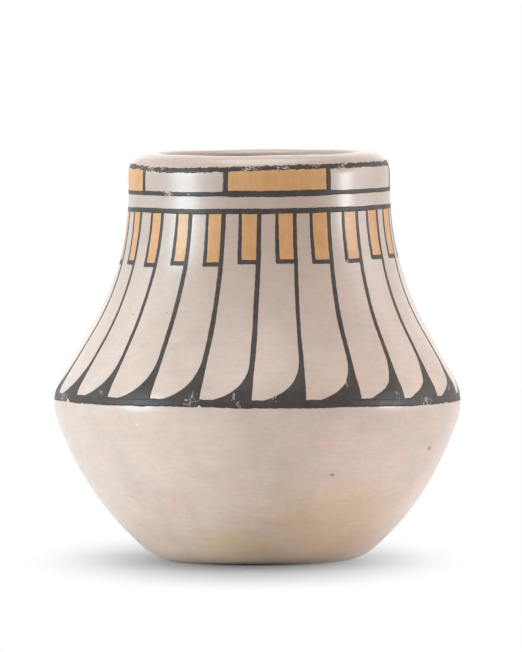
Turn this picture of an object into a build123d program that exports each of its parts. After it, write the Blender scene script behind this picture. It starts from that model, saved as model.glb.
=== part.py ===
"""Pueblo pottery jar: coil-built clay, its slip coat and its painted bands, in millimetres.

The origin is the middle of the foot, +Z is up and -Y is the front.
"""

import os
from math import atan2, cos, pi, radians, sin, tan

from build123d import *

# Outside of the polished jar. A wall's angle is counted from level and outwards, so 90 is upright.
base_diameter = 59.0
shoulder_diameter = 152.0
shoulder_height = 60.9
collar_diameter = 97.8
mouth_diameter = 74.0
jar_height = 151.4
bowl_angle = 44.0
belly_angle = 72.0
slope_angle = 121.5
foot_round = 21.0
belly_round = 100.0
keel_round = 14.0
neck_round = 108.0
rim_round = 7.6
lip_round = 2.6
bend_room = 0.98

# Clay under the slip. A reach is a length along the outside: from the middle of the foot, or from the lip.
slip_thickness = 0.4
slip_inside_lip = 4.2
wall_thickness = 6.0
floor_thickness = 8.5
floor_round = 14.0
foot_ring_width = 7.0
foot_hollow = 1.2
pan_reach = 72.0
rim_coil_reach = 38.0
seam_lap = 3.0
coil_swell = 0.5
rim_inside_round = 3.0
lip_underside_round = 2.0
section_margin = 8.0

# Paint. A drop is measured down from the top of the jar, or from the widest part of the shoulder.
paint_thickness = 0.2
paint_seat = 0.02
line_width = 2.0
rim_line_drop = 5.3
panel_line_drop = 14.9
collar_line_drop = 21.3
shoulder_band_drop = 1.3
shoulder_band_width = 3.5
panel_count = 8
panel_turn = 8.5
divider_width = 1.8
feather_count = 23
shaft_width = 1.4
tip_width = 5.4
tip_length = 18.0
tip_line_width = 1.4
tip_bar_width = 1.8
crescent_height = 14.0
crescent_tip = 0.4
stroke_gap = 0.6

coil_names = [
    "bowl_coil",
    "belly_coil",
    "shoulder_coil",
    "slope_coil",
    "lower_neck_coil",
    "upper_neck_coil",
    "collar_coil",
]

base_radius = base_diameter / 2
mouth_radius = mouth_diameter / 2
collar_radius = collar_diameter / 2
rim_middle = (collar_radius + mouth_radius) / 2
clay_top = jar_height - slip_thickness
clay_mouth_radius = mouth_radius + slip_thickness
rim_underside = clay_top - wall_thickness
reach_of_cuts = shoulder_diameter


def heading(angle):
    """The direction of a wall, in the half plane of radius and height."""
    return Vector(cos(radians(angle)), sin(radians(angle)))


def inward(direction):
    """The normal that points from a wall into the clay."""
    return Vector(-direction.Y, direction.X)


def crossing(point, direction, other_point, other_direction):
    """The point where two straight walls meet."""
    normal = inward(other_direction)
    return point + direction * ((other_point - point).dot(normal) / direction.dot(normal))


def turn(before, after):
    """The angle in radians from one direction to the next: positive where the wall bulges out."""
    return atan2(before.X * after.Y - before.Y * after.X, before.dot(after))


def limited(radius, half_turn, room):
    """A round's radius, or the largest that the straight walls beside it leave room for."""
    return min(radius, bend_room * room / half_turn)


def polished_outline():
    """Corners of the outside from the middle of the foot to the lip, and the round at each."""
    foot = Vector(base_radius + foot_round * tan(radians(bowl_angle) / 2), 0)
    keel_centre = Vector(shoulder_diameter / 2 - keel_round, shoulder_height)
    below = inward(heading(belly_angle))
    above = inward(heading(slope_angle))
    shoulder = keel_centre - (below + above) * (keel_round / (1 + below.dot(above)))
    belly = crossing(foot, heading(bowl_angle), shoulder, heading(belly_angle))
    rim = Vector(collar_radius, jar_height)
    neck = crossing(shoulder, heading(slope_angle), rim, heading(90))
    mouth = Vector(mouth_radius, jar_height)
    lip = Vector(mouth_radius, jar_height - slip_inside_lip)
    corners = [Vector(0, 0), foot, belly, shoulder, neck, rim, mouth, lip]
    legs = [end - start for start, end in zip(corners, corners[1:])]
    half_turns = [tan(abs(turn(before, after)) / 2) for before, after in zip(legs, legs[1:])]
    foot_turn, belly_turn, keel_turn, neck_turn, rim_turn, lip_turn = half_turns
    bowl_leg, belly_leg, slope_leg, collar_leg, top_leg = [leg.length for leg in legs[1:-1]]
    rim_share = rim_round / (rim_round + lip_round)
    rim_fit = limited(rim_round, rim_turn, top_leg * rim_share)
    lip_fit = limited(lip_round, lip_turn, top_leg * (1 - rim_share))
    keel_length = keel_round * keel_turn
    belly_room = min(bowl_leg - foot_round * foot_turn, belly_leg - keel_length)
    neck_room = min(slope_leg - keel_length, collar_leg - rim_fit * rim_turn)
    belly_fit = limited(belly_round, belly_turn, belly_room)
    neck_fit = limited(neck_round, neck_turn, neck_room)
    return corners, [foot_round, belly_fit, keel_round, neck_fit, rim_fit, lip_fit]


def parallel_outline(depth):
    """The polished outline moved inwards by a depth, with its rounds still concentric."""
    corners, rounds = polished_outline()
    normals = [inward((end - start).normalized()) for start, end in zip(corners, corners[1:])]
    moved = [corners[0] + normals[0] * depth]
    radii = []
    for corner, radius, before, after in zip(corners[1:], rounds, normals, normals[1:]):
        moved.append(corner + (before + after) * (depth / (1 + before.dot(after))))
        radii.append(radius - depth if turn(before, after) > 0 else radius + depth)
    moved.append(corners[-1] + normals[-1] * depth)
    return moved, radii


def half_section(depth):
    """Everything between the axis and the outline at a depth, drawn as radius and height."""
    corners, radii = parallel_outline(depth)
    with BuildSketch() as half:
        with BuildLine():
            FilletPolyline(*corners, radius=radii)
            Polyline(corners[-1], (0, corners[-1].Y), corners[0])
        make_face()
    return half.sketch


# The clay stands bare on its foot, inside the edge of the slip
with BuildSketch() as clay:
    add(half_section(slip_thickness))
    Rectangle(base_radius, foot_round, align=Align.MIN)
    with BuildLine():
        hollow_radius = base_radius - foot_ring_width
        ThreePointArc((-hollow_radius, 0), (0, foot_hollow), (hollow_radius, 0))
        Line((hollow_radius, 0), (-hollow_radius, 0))
    make_face(mode=Mode.SUBTRACT)

polished = half_section(0)

with BuildSketch() as paint_layer:
    add(half_section(-paint_seat - paint_thickness))
    add(half_section(-paint_seat), mode=Mode.SUBTRACT)

with BuildLine() as clay_outside:
    clay_corners, clay_radii = parallel_outline(slip_thickness)
    FilletPolyline(*clay_corners, radius=clay_radii)

clay_wire = clay_outside.wires()[0]


def wall_point(reach, depth):
    """A point at a reach along the outside of the clay and a depth into the wall."""
    place = clay_wire.position_at(reach, PositionMode.LENGTH)
    direction = clay_wire.tangent_at(reach, PositionMode.LENGTH)
    return place + inward(direction) * depth


def seam(reach):
    """A lapped seam: its inner end, lower down the wall, and a point beyond its outer end."""
    inside = wall_point(reach - seam_lap, wall_thickness)
    outside = wall_point(reach, 0)
    return inside, outside + (outside - inside).normalized() * section_margin


last_reach = clay_wire.length - rim_coil_reach
coil_length = (last_reach - pan_reach) / len(coil_names)
seam_reaches = [pan_reach + coil_length * number for number in range(len(coil_names) + 1)]

os.makedirs("parts", exist_ok=True)

# Clay: the base pan, pressed in a shallow form, carries the foot and the start of the bowl
pan_inside, pan_outside = seam(pan_reach)
floor_edge = crossing(pan_inside, heading(bowl_angle), Vector(0, floor_thickness), heading(0))

with BuildPart() as base_pan:
    with BuildSketch(Plane.XZ):
        with BuildLine():
            FilletPolyline((0, floor_thickness), floor_edge, pan_inside, radius=floor_round)
            Polyline(pan_inside, pan_outside, (pan_outside.X, 0), (0, 0), (0, floor_thickness))
        make_face()
        add(clay.sketch, mode=Mode.INTERSECT)
    revolve(axis=Axis.Z)
base_pan.part.label = "base_pan"
export_step(base_pan.part, "parts/base_pan.step")

# Clay: each coil is lapped over the one below and still swells a little on the inside
for name, low_reach, high_reach in zip(coil_names, seam_reaches, seam_reaches[1:]):
    low_inside, low_outside = seam(low_reach)
    high_inside, high_outside = seam(high_reach)
    swell = wall_point((low_reach + high_reach) / 2 - seam_lap, wall_thickness + coil_swell)
    with BuildPart() as coil:
        with BuildSketch(Plane.XZ):
            with BuildLine():
                ThreePointArc(low_inside, swell, high_inside)
                Polyline(high_inside, high_outside, low_outside, low_inside)
            make_face()
            add(clay.sketch, mode=Mode.INTERSECT)
        revolve(axis=Axis.Z)
    coil.part.label = name
    export_step(coil.part, f"parts/{name}.step")

# Clay: the rim coil is turned inwards and its lip is rounded
rim_inside, rim_outside = seam(last_reach)
rim_inner_corner = Vector(collar_radius - slip_thickness - wall_thickness, rim_underside)
lip_underside = Vector(clay_mouth_radius, rim_underside)
lip_top = Vector(clay_mouth_radius, jar_height)
underside_length = (lip_underside - rim_inner_corner).length
underside_share = rim_inside_round / (rim_inside_round + lip_underside_round)
square_turn = tan(radians(90) / 2)
underside_rounds = [
    limited(rim_inside_round, square_turn, underside_length * underside_share),
    limited(lip_underside_round, square_turn, underside_length * (1 - underside_share)),
]

with BuildPart() as rim_coil:
    with BuildSketch(Plane.XZ):
        with BuildLine():
            FilletPolyline(
                rim_inside, rim_inner_corner, lip_underside, lip_top, radius=underside_rounds
            )
            Polyline(lip_top, (rim_outside.X, jar_height), rim_outside, rim_inside)
        make_face()
        add(clay.sketch, mode=Mode.INTERSECT)
    revolve(axis=Axis.Z)
rim_coil.part.label = "rim_coil"
export_step(rim_coil.part, "parts/rim_coil.step")

# Slip: from the edge of the foot, over the rim and a little way inside the lip
with BuildPart() as slip_coat:
    with BuildSketch(Plane.XZ):
        add(polished)
        add(clay.sketch, mode=Mode.SUBTRACT)
        Rectangle(base_radius, foot_round, align=Align.MIN, mode=Mode.SUBTRACT)
    revolve(axis=Axis.Z)
slip_coat.part.label = "slip_coat"
export_step(slip_coat.part, "parts/slip_coat.step")

# Paint: the plain lines that run all the way round, as their lower edge and width
shoulder_band_height = shoulder_height - shoulder_band_drop
rim_line_height = jar_height - rim_line_drop
panel_line_height = jar_height - panel_line_drop
collar_line_height = jar_height - collar_line_drop
painted_lines = {
    "rim_line": (rim_line_height, line_width),
    "panel_line": (panel_line_height, line_width),
    "collar_line": (collar_line_height, line_width),
    "shoulder_band": (shoulder_band_height, shoulder_band_width),
}


def painted_zone(low, high):
    """The paint layer between two heights, on the outer half of the rim and below it."""
    with BuildSketch(Plane.XZ) as zone:
        add(paint_layer.sketch)
        with Locations((rim_middle, low)):
            Rectangle(reach_of_cuts, high - low, align=Align.MIN, mode=Mode.INTERSECT)
    return zone.sketch


for name, (height, width) in painted_lines.items():
    with BuildPart() as line:
        add(painted_zone(height, height + width))
        revolve(axis=Axis.Z)
    line.part.label = name
    export_step(line.part, f"parts/{name}.step")

# Paint: the band of panels round the rim, each divider and every other panel
panel_low = panel_line_height + line_width
panel_high = rim_line_height
panel_step = 360 / panel_count
front = -90 + panel_turn
panel_half_width = reach_of_cuts * tan(radians(panel_step / 2))

with BuildPart() as panel_dividers:
    add(painted_zone(panel_low, panel_high))
    revolve(axis=Axis.Z)
    with BuildSketch(Plane.XY.offset(panel_low)):
        with PolarLocations(0, panel_count, start_angle=front + panel_step / 2):
            Rectangle(reach_of_cuts, divider_width, align=(Align.MIN, Align.CENTER))
    extrude(amount=panel_high - panel_low, mode=Mode.INTERSECT)
panel_dividers.part.label = "panel_dividers"
export_step(panel_dividers.part, "parts/panel_dividers.step")

with BuildPart() as ochre_panels:
    add(painted_zone(panel_low, panel_high))
    revolve(axis=Axis.Z)
    with BuildSketch(Plane.XY.offset(panel_low)):
        with PolarLocations(0, panel_count // 2, start_angle=front):
            Polygon(
                (0, 0),
                (reach_of_cuts, -panel_half_width),
                (reach_of_cuts, panel_half_width),
                align=None,
            )
        with PolarLocations(0, panel_count, start_angle=front + panel_step / 2):
            Rectangle(
                reach_of_cuts, divider_width, align=(Align.MIN, Align.CENTER), mode=Mode.SUBTRACT
            )
    extrude(amount=panel_high - panel_low, mode=Mode.INTERSECT)
ochre_panels.part.label = "ochre_panels"
export_step(ochre_panels.part, "parts/ochre_panels.step")

# Paint: the feathers, drawn once at the front and repeated round the neck
feather_low = shoulder_band_height + shoulder_band_width
feather_high = collar_line_height
tip_low = feather_high - tip_length
shaft_left = -shaft_width / 2
tip_left = shaft_left - tip_width
feather_pitch = 2 * pi * (shoulder_diameter / 2) / feather_count
crescent_left = shaft_left - (feather_pitch - shaft_width - stroke_gap)
crescent_foot = feather_low + crescent_tip

with BuildPart() as neck_zone:
    add(painted_zone(feather_low, feather_high))
    revolve(axis=Axis.Z)

with BuildPart() as shaft:
    with BuildSketch(Plane.XZ):
        with Locations((0, feather_low)):
            Rectangle(shaft_width, feather_high - feather_low, align=(Align.CENTER, Align.MIN))
        with BuildLine():
            EllipticalCenterArc(
                (crescent_left, crescent_foot + crescent_height),
                shaft_left - crescent_left,
                crescent_height,
                start_angle=-90,
                arc_size=90,
            )
            Polyline(
                (shaft_left, crescent_foot + crescent_height),
                (shaft_left, feather_low),
                (crescent_left, feather_low),
                (crescent_left, crescent_foot),
            )
        make_face()
    extrude(amount=reach_of_cuts)
    add(neck_zone.part, mode=Mode.INTERSECT)

with BuildPart() as tip_outline:
    with BuildSketch(Plane.XZ):
        with Locations((tip_left - tip_line_width, tip_low - tip_bar_width)):
            Rectangle(tip_line_width, tip_length + tip_bar_width, align=Align.MIN)
            Rectangle(tip_line_width + tip_width, tip_bar_width, align=Align.MIN)
    extrude(amount=reach_of_cuts)
    add(neck_zone.part, mode=Mode.INTERSECT)

with BuildPart() as tip:
    with BuildSketch(Plane.XZ):
        with Locations((tip_left, tip_low)):
            Rectangle(tip_width, tip_length, align=Align.MIN)
    extrude(amount=reach_of_cuts)
    add(neck_zone.part, mode=Mode.INTERSECT)

feather_pieces = {
    "feather_shafts": shaft,
    "feather_tip_outlines": tip_outline,
    "feather_tips": tip,
}
for name, one in feather_pieces.items():
    with BuildPart() as ring:
        with PolarLocations(0, feather_count):
            add(one.part)
    ring.part.label = name
    export_step(ring.part, f"parts/{name}.step")
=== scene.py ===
"""Pueblo pottery jar: coiled clay, stone-polished slip and hand-painted bands, built round the CAD frame.

Everything is in metres. The jar stands on its foot at the origin, +Z is up and -Y is the front. An angle
round the jar is counted from the front to the right. A length is measured along the polished outside,
from the middle of the foot up to the rim and in to the lip.
"""

import math
from collections import namedtuple

import bpy
import numpy as np
from bpy.props import FloatProperty, FloatVectorProperty, IntProperty, PointerProperty
from bpy.types import Operator, Panel, PropertyGroup
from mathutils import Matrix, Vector


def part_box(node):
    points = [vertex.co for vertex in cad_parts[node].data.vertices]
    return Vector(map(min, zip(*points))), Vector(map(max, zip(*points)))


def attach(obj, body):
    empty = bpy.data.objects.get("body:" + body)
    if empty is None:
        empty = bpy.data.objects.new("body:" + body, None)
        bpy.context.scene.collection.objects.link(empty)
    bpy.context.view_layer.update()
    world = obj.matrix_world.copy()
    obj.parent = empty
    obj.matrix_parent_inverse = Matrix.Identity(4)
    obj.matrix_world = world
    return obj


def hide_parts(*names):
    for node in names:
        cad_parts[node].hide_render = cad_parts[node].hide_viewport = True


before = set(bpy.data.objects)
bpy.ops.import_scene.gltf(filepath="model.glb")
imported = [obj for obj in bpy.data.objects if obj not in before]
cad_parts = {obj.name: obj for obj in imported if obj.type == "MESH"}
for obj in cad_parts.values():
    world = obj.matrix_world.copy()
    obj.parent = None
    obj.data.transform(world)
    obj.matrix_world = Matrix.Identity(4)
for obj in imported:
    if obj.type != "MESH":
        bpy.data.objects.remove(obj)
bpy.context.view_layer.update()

bl_info = {
    "name": "Pueblo Pottery Jar",
    "version": (1, 0, 0),
    "blender": (4, 5, 0),
    "location": "View3D > Sidebar > Jar",
    "description": "Builds a coiled, slipped and hand-painted jar round its CAD frame",
    "category": "Add Mesh",
}

MM = 0.001
WALL_COILS = (
    "bowl_coil",
    "belly_coil",
    "shoulder_coil",
    "slope_coil",
    "lower_neck_coil",
    "upper_neck_coil",
    "collar_coil",
)

# How far the neck, the band and the shoulder differ from their CAD sizes, as fitted to the photograph
NECK_RISE = 0.7 * MM
BAND_DROP = 0.5 * MM
SHOULDER_TRIM = 0.8 * MM


# Values that a user would change


def size(name, description, default):
    """A length in metres."""
    return FloatProperty(name=name, description=description, default=default, unit="LENGTH", precision=5)


def turn(name, description, degrees):
    """An angle, given in degrees."""
    default = math.radians(degrees)
    return FloatProperty(name=name, description=description, default=default, subtype="ANGLE")


def share(name, description, default):
    """A part of a whole, from 0 to 1."""
    return FloatProperty(name=name, description=description, default=default, min=0, max=1, subtype="FACTOR")


def number(name, description, default):
    """How many of something."""
    return IntProperty(name=name, description=description, default=default, min=1)


def power(name, description, default):
    """The power of a lamp."""
    return FloatProperty(name=name, description=description, default=default, unit="POWER")


def linear(red, green, blue):
    """A colour picked on a screen, from 0 to 255, as the linear values that shaders use."""
    parts = np.array([red, green, blue]) / 255
    return tuple(np.where(parts <= 0.04045, parts / 12.92, ((parts + 0.055) / 1.055) ** 2.4).tolist())


def colour(name, description, *screen):
    """A colour, given as it looks on a screen."""
    return FloatVectorProperty(
        name=name, description=description, default=linear(*screen), size=3, subtype="COLOR", min=0, max=1
    )


def low(node):
    """The height of a CAD node's lowest point."""
    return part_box(node)[0][2]


def high(node):
    """The height of a CAD node's highest point."""
    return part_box(node)[1][2]


def middle(node):
    """The height halfway up a CAD node."""
    return (low(node) + high(node)) / 2


def width(node):
    """How wide a CAD node is from left to right."""
    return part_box(node)[1][0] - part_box(node)[0][0]


def painted_height(node):
    """The height of a painted line: the middle of its CAD node, raised with the neck."""
    return middle(node) + NECK_RISE


class JarForm(PropertyGroup):
    """The clay and slip, before any paint."""

    base_diameter: size("Base", "Width of the foot", 59 * MM)
    shoulder_diameter: size("Shoulder", "Width at the widest point", width("slip_coat") - SHOULDER_TRIM)
    shoulder_height: size("Shoulder height", "Height of the widest point", 58.8 * MM)
    collar_diameter: size("Collar", "Width under the rim", 97.3 * MM)
    mouth_diameter: size("Mouth", "Width of the opening", 74 * MM)
    jar_height: size("Height", "Height of the rim", high("slip_coat") + NECK_RISE)
    bowl_angle: turn("Bowl angle", "How steeply the bowl leaves the foot", 44)
    belly_angle: turn("Belly angle", "How steeply the bowl meets the shoulder", 72)
    slope_angle: turn("Slope angle", "How far the wall leans in above the shoulder", 119.9)
    foot_round: size("Foot round", "Rounding where the bowl leaves the foot", 20.8 * MM)
    belly_round: size("Belly round", "Curve of the bowl", 107 * MM)
    keel_round: size("Keel round", "Rounding of the shoulder", 17.5 * MM)
    neck_round: size("Neck round", "Curve from the slope to the collar", 105 * MM)
    rim_round: size("Rim round", "Rounding on top of the collar", 7.6 * MM)
    lip_round: size("Lip round", "Rounding at the mouth", 2.6 * MM)
    slip_thickness: size("Slip", "Thickness of the slip coat", 0.4 * MM)
    slip_inside_lip: size("Slip inside lip", "How far the slip goes down inside the lip", 4.2 * MM)
    wall_thickness: size("Wall", "Thickness of the coiled wall", 6 * MM)
    floor_thickness: size("Floor", "Thickness of the base pan", 8.5 * MM)
    floor_round: size("Floor round", "Rounding between the floor and the wall", 14 * MM)
    foot_ring_width: size("Foot ring", "Width of the ring that the jar stands on", 7 * MM)
    foot_hollow: size("Foot hollow", "Depth of the hollow under the foot", 1.2 * MM)
    seam_lap: size("Seam lap", "How far a coil laps down inside the one below", 3 * MM)
    coil_swell: size("Coil swell", "How far a coil still bulges on the inside", 0.5 * MM)
    rim_inside_round: size("Rim inside round", "Rounding under the turned-in rim", 3 * MM)
    lip_underside_round: size("Lip underside round", "Rounding under the lip", 2 * MM)
    hand_unevenness: size("Unevenness", "How far the wall wanders from a true round", 0.16 * MM)
    polish_facets: size("Polishing marks", "Depth of the marks of the polishing stone", 0.012 * MM)
    finger_marks: size("Finger marks", "Depth of the finger marks inside", 0.35 * MM)
    lopsided: size("Lopsided", "How far the bowl stands off the axis of the neck", 0.5 * MM)
    rim_tilt: size("Rim tilt", "How much the right of the rim stands above the left", 0.85 * MM)


class JarPaint(PropertyGroup):
    """The brushwork."""

    line_lift: size("Black lift", "How far the black paint stands on the slip", 0.08 * MM)
    wash_lift: size("Ochre lift", "How far the ochre wash stands on the slip", 0.05 * MM)
    edge_sink: size("Edge sink", "How far the hidden edge of a stroke goes into the slip", 0.05 * MM)
    stroke_depth: size("Stroke depth", "How far the hidden back of a stroke lies in the slip", 0.15 * MM)
    line_width: size("Line width", "Width of the lines round the neck, at the sides and back", 1.7 * MM)
    line_swell: size("Line swell", "How much wider those lines are at the front", 0.42 * MM)
    panel_swell: size("Panel swell", "How much wider the line under the front panel is", 0.8 * MM)
    rim_line_height: size("Rim line", "Middle of the line round the top", painted_height("rim_line"))
    panel_line_height: size("Panel line", "Middle of the line under the panels", painted_height("panel_line"))
    collar_line_height: size("Collar line", "Middle of the line over feathers", painted_height("collar_line"))
    band_height: size("Band height", "Middle of the band", painted_height("shoulder_band") - BAND_DROP)
    band_width: size("Band width", "Width of the shoulder band", 3.1 * MM)
    neck_tilt: size("Neck tilt", "How far the neck's lines rise to the right", 0.26 * MM)
    rim_sag: size("Rim sag", "How far the rim line sags at the left of the front", 0.8 * MM)
    band_tilt: size("Band tilt", "How far the shoulder band falls to the right", 0.35 * MM)
    wobble: size("Wobble", "How far a brush stroke wanders", 0.1 * MM)
    ragged: size("Ragged edge", "How rough a brush edge is", 0.08 * MM)
    torn: size("Torn edge", "How rough the worn edges of the rim line are", 0.26 * MM)
    chips: size("Chips", "Depth of the chips in the shoulder band's lower edge", 1.4 * MM)
    panel_count: number("Panels", "Panels round the rim", 8)
    panel_turn: turn("Panel turn", "Where the front panel's middle is", 8.5)
    front_panel: turn("Front panel", "Width of the panels at the front", 46.6)
    right_panel: turn("Right panel", "Width of the plain panel at the right", 51)
    divider_width: size("Divider width", "Width of the uprights between panels", 2.1 * MM)
    feather_count: number("Feathers", "Feathers round the neck", 23)
    front_feathers: number("Front feathers", "Feathers drawn at the front pitch", 11)
    feather_pitch: turn("Feather pitch", "Step from feather to feather at the front", 15.75)
    feather_lean: turn("Feather lean", "How far a shaft's foot stands to the left of its top", 2.3)
    lean_change: turn("Lean change", "How much more the right-hand feathers lean", 1.1)
    foot_swing: turn("Foot swing", "How far the right-hand shafts swing out to the right at their feet", 3.8)
    shaft_width: size("Shaft width", "Width of a feather's long line at its top", 1.6 * MM)
    tip_width: size("Tip width", "From a feather's short line to its shaft", 6.7 * MM)
    tip_widening: size("Tip widening", "How much wider the right-hand tips are", 0.8 * MM)
    tip_length: size("Tip length", "From the collar line to the foot of a tip", 20 * MM)
    tip_shortening: size("Tip shortening", "How much shorter the right-hand tips are", 0.9 * MM)
    tip_line_width: size("Tip line width", "Width of a tip's outline", 1.75 * MM)
    tip_corner: size("Tip corner", "Outer rounding of a tip's lower corner", 0.65 * MM)
    crescent_width: size("Crescent width", "How far a crescent reaches to the left", 20.2 * MM)
    crescent_shrink: size("Crescent shrink", "How much narrower the right-hand crescents are", 0.8 * MM)
    crescent_height: size("Crescent height", "How far a crescent climbs its shaft", 15 * MM)
    crescent_power: FloatProperty(
        name="Crescent curve", description="Roundness of a crescent, where 2 is an ellipse", default=2.15
    )
    crescent_kink: size("Crescent kink", "Height at which a right-hand crescent turns sharply out", 4.5 * MM)
    scratch_radius: size("Scratches", "How far a patch of scratches reaches", 2.6 * MM)


class JarColours(PropertyGroup):
    """The finishes."""

    cream: colour("Cream slip", "Colour of the polished slip on the bowl", 242, 215, 200)
    # The darker slip on the neck is painted shade on the neck
    neck_slip_shaded: colour("Neck slip", "Colour of the slip on the neck, which is handled most", 205, 177, 161)
    pink_tint: colour("Pink tint", "Tint of the pinkish clouds in the slip", 255, 249, 246)
    # This grey also darkens the bowl where the clouds of painted shade lie
    grey_and_shade_tint: colour("Grey tint", "Tint of the greyish clouds in the slip", 245, 248, 249)
    tan_tint: colour("Tan tint", "Tint of the slip where the fire turned it tan", 253, 249, 230)
    mottle_tint: colour("Mottle tint", "Tint of the fine mottling in the slip", 250, 246, 243)
    slip_speck: colour("Slip speck", "Specks of temper in the slip", 132, 104, 88)
    scratch: colour("Scratch", "Scratches in the black paint", 172, 163, 156)
    black: colour("Black", "Black paint", 67, 58, 54)
    black_worn: colour("Worn black", "Black paint where it is rubbed thin", 96, 84, 78)
    ochre: colour("Ochre", "Ochre paint", 225, 164, 108)
    ochre_pale: colour("Pale ochre", "Ochre paint where the brush ran dry", 233, 186, 138)
    ochre_dark: colour("Dark ochre", "Ochre paint where it pooled", 205, 142, 86)
    clay: colour("Clay", "Bare fired clay", 176, 141, 116)
    clay_pale: colour("Pale clay", "Bare clay where it was scraped", 196, 166, 143)
    clay_dark: colour("Dark clay", "Bare clay in its hollows", 138, 106, 86)
    brown_fleck: colour("Brown fleck", "Rusty flecks on the bowl", 176, 122, 86)
    chip_white: colour("White chip", "Tiny pale chips in the slip", 244, 238, 232)


class JarStage(PropertyGroup):
    """The floor, the light and the camera."""

    camera_distance: size("Camera distance", "From the camera to the jar", 6.7)
    camera_height: size("Camera height", "Height of the camera above the floor", 353 * MM)
    picture_height: size("Picture height", "How much of the jar's plane the picture holds", 242.6 * MM)
    aim_height: size("Aim height", "Height of the picture's middle", 87.42 * MM)
    aim_right: size("Aim right", "How far the picture's middle is right of the jar's axis", 0.74 * MM)
    left_power: power("Left lamp", "Power of the upright lamp at the left", 9.0)
    right_power: power("Right lamp", "Power of the narrow lamp at the right", 3.9)
    top_power: power("Top lamp", "Power of the wide lamp overhead", 9.7)
    edge_power: power("Edge lamp", "Power of the lamp that whitens the left edge", 0.8)
    broad_power: power("Broad lamp", "Power of the broad soft lamp at the right", 2.7)
    sheen_power: power("Sheen lamp", "Power of the lamp that shines on the slope", 0.8)
    back_power: power("Back lamp", "Power of the soft lamp behind", 1.2)
    left_tint: colour("Left tint", "Colour of the cooler light at the left", 218, 243, 255)
    right_tint: colour("Right tint", "Colour of the light at the right", 242, 249, 255)
    fill: share("Fill", "Brightness of the room's pale ceiling", 0.39)
    # The floor close to the jar is drawn darker as painted shade round the jar
    floor_painted_shade: share("Floor dimming", "How much darker the floor is drawn close to the jar", 0.6)
    floor_radius: size("Floor radius", "How far the floor reaches", 3.0)
    shadow_left: size("Shadow left", "How far the middle of the shadow is left of the axis", 5 * MM)
    shadow_across: size("Shadow across", "How far to the sides the shadow is kept", 85 * MM)
    shadow_ahead: size("Shadow ahead", "How far to the front and back the shadow is kept", 225 * MM)


# The outside of the jar as a line of radius against height

ARC_STEPS = 60
OUTLINE_STEP = 0.1 * MM


def heading(angle):
    """The direction of a wall, in the half plane of radius and height."""
    return np.array([math.cos(angle), math.sin(angle)])


def inward(direction):
    """The normal that points from a wall into the clay."""
    return np.array([-direction[1], direction[0]])


def unit(vector):
    """The same direction with a length of one."""
    return vector / np.linalg.norm(vector)


def crossing(point, direction, other_point, other_direction):
    """The point where two straight walls meet."""
    normal = inward(other_direction)
    return point + direction * ((other_point - point) @ normal / (direction @ normal))


def rounded(corners, rounds):
    """Points along straight walls whose corners are rounded."""
    points = [corners[0]]
    for before, corner, after, radius in zip(corners, corners[1:], corners[2:], rounds):
        back = unit(before - corner)
        ahead = unit(after - corner)
        half = math.acos(back @ ahead) / 2
        centre = corner + unit(back + ahead) * radius / math.sin(half)
        first = corner + back * radius / math.tan(half) - centre
        last = corner + ahead * radius / math.tan(half) - centre
        sweep = math.pi - 2 * half
        for part in np.linspace(0, 1, ARC_STEPS):
            swung = first * math.sin((1 - part) * sweep) + last * math.sin(part * sweep)
            points.append(centre + swung / math.sin(sweep))
    points.append(corners[-1])
    return np.array(points)


def spaced(points, step):
    """The same line with even steps, and the length at each point."""
    lengths = np.concatenate([[0], np.cumsum(np.linalg.norm(np.diff(points, axis=0), axis=1))])
    even = np.linspace(0, lengths[-1], math.ceil(lengths[-1] / step) + 1)
    return np.column_stack([np.interp(even, lengths, axis) for axis in points.T]), even


def polished_outline(form):
    """The outside from the middle of the foot, over the rim and in to the lip."""
    foot = np.array([form.base_diameter / 2 + form.foot_round * math.tan(form.bowl_angle / 2), 0])
    keel_centre = np.array([form.shoulder_diameter / 2 - form.keel_round, form.shoulder_height])
    below = inward(heading(form.belly_angle))
    above = inward(heading(form.slope_angle))
    shoulder = keel_centre - (below + above) * form.keel_round / (1 + below @ above)
    belly = crossing(foot, heading(form.bowl_angle), shoulder, heading(form.belly_angle))
    rim = np.array([form.collar_diameter / 2, form.jar_height])
    neck = crossing(shoulder, heading(form.slope_angle), rim, heading(math.pi / 2))
    mouth = np.array([form.mouth_diameter / 2, form.jar_height])
    lip = np.array([form.mouth_diameter / 2, form.jar_height - form.slip_inside_lip])
    corners = [np.zeros(2), foot, belly, shoulder, neck, rim, mouth, lip]
    rounds = [
        form.foot_round,
        form.belly_round,
        form.keel_round,
        form.neck_round,
        form.rim_round,
        form.lip_round,
    ]
    return rounded(corners, rounds)


# Unevenness of the hand, always the same from one run to the next

Wave = namedtuple("Wave", "seed turns rises count", defaults=((0, 0), 10))


def hand_wave(wave, angle, along=0.0, order=0):
    """A smooth unevenness of about one unit that closes on itself round the jar.

    It is a sum of ripples. Each has a random number of turns round the jar and a random rise along it.
    """
    draw = np.random.default_rng(wave.seed + order)
    fewest, most = wave.turns
    total = 0
    for _ in range(wave.count):
        around = draw.integers(fewest, most + 1)
        climb = draw.uniform(*wave.rises) * draw.choice([-1, 1])
        total = total + np.sin(around * angle + climb * along + draw.uniform(0, 2 * math.pi))
    return total / math.sqrt(wave.count)


def ragged_ring(seed, angle, count):
    """A rough line round the jar, from -1 to 1, with a number of random steps."""
    values = np.random.default_rng(seed).uniform(-1, 1, count)
    place = np.mod(angle, 2 * math.pi) / (2 * math.pi) * count
    return np.interp(place, np.arange(count + 1), np.append(values, values[0]))


def ragged_line(seed, place, step):
    """A rough line along a stroke, from -1 to 1, with a random value at each step."""
    count = math.ceil(np.max(place) / step) + 2
    values = np.random.default_rng(seed).uniform(-1, 1, count)
    return np.interp(place / step, np.arange(count), values)


# Angles round the jar


def ring_angles(count):
    """Even angles round the jar, without the last one that closes the ring."""
    return np.arange(count) * 2 * math.pi / count


def turned_from(angle, bearing):
    """How far an angle is from a bearing in degrees, the short way round."""
    return np.mod(angle - math.radians(bearing) + math.pi, 2 * math.pi) - math.pi


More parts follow.
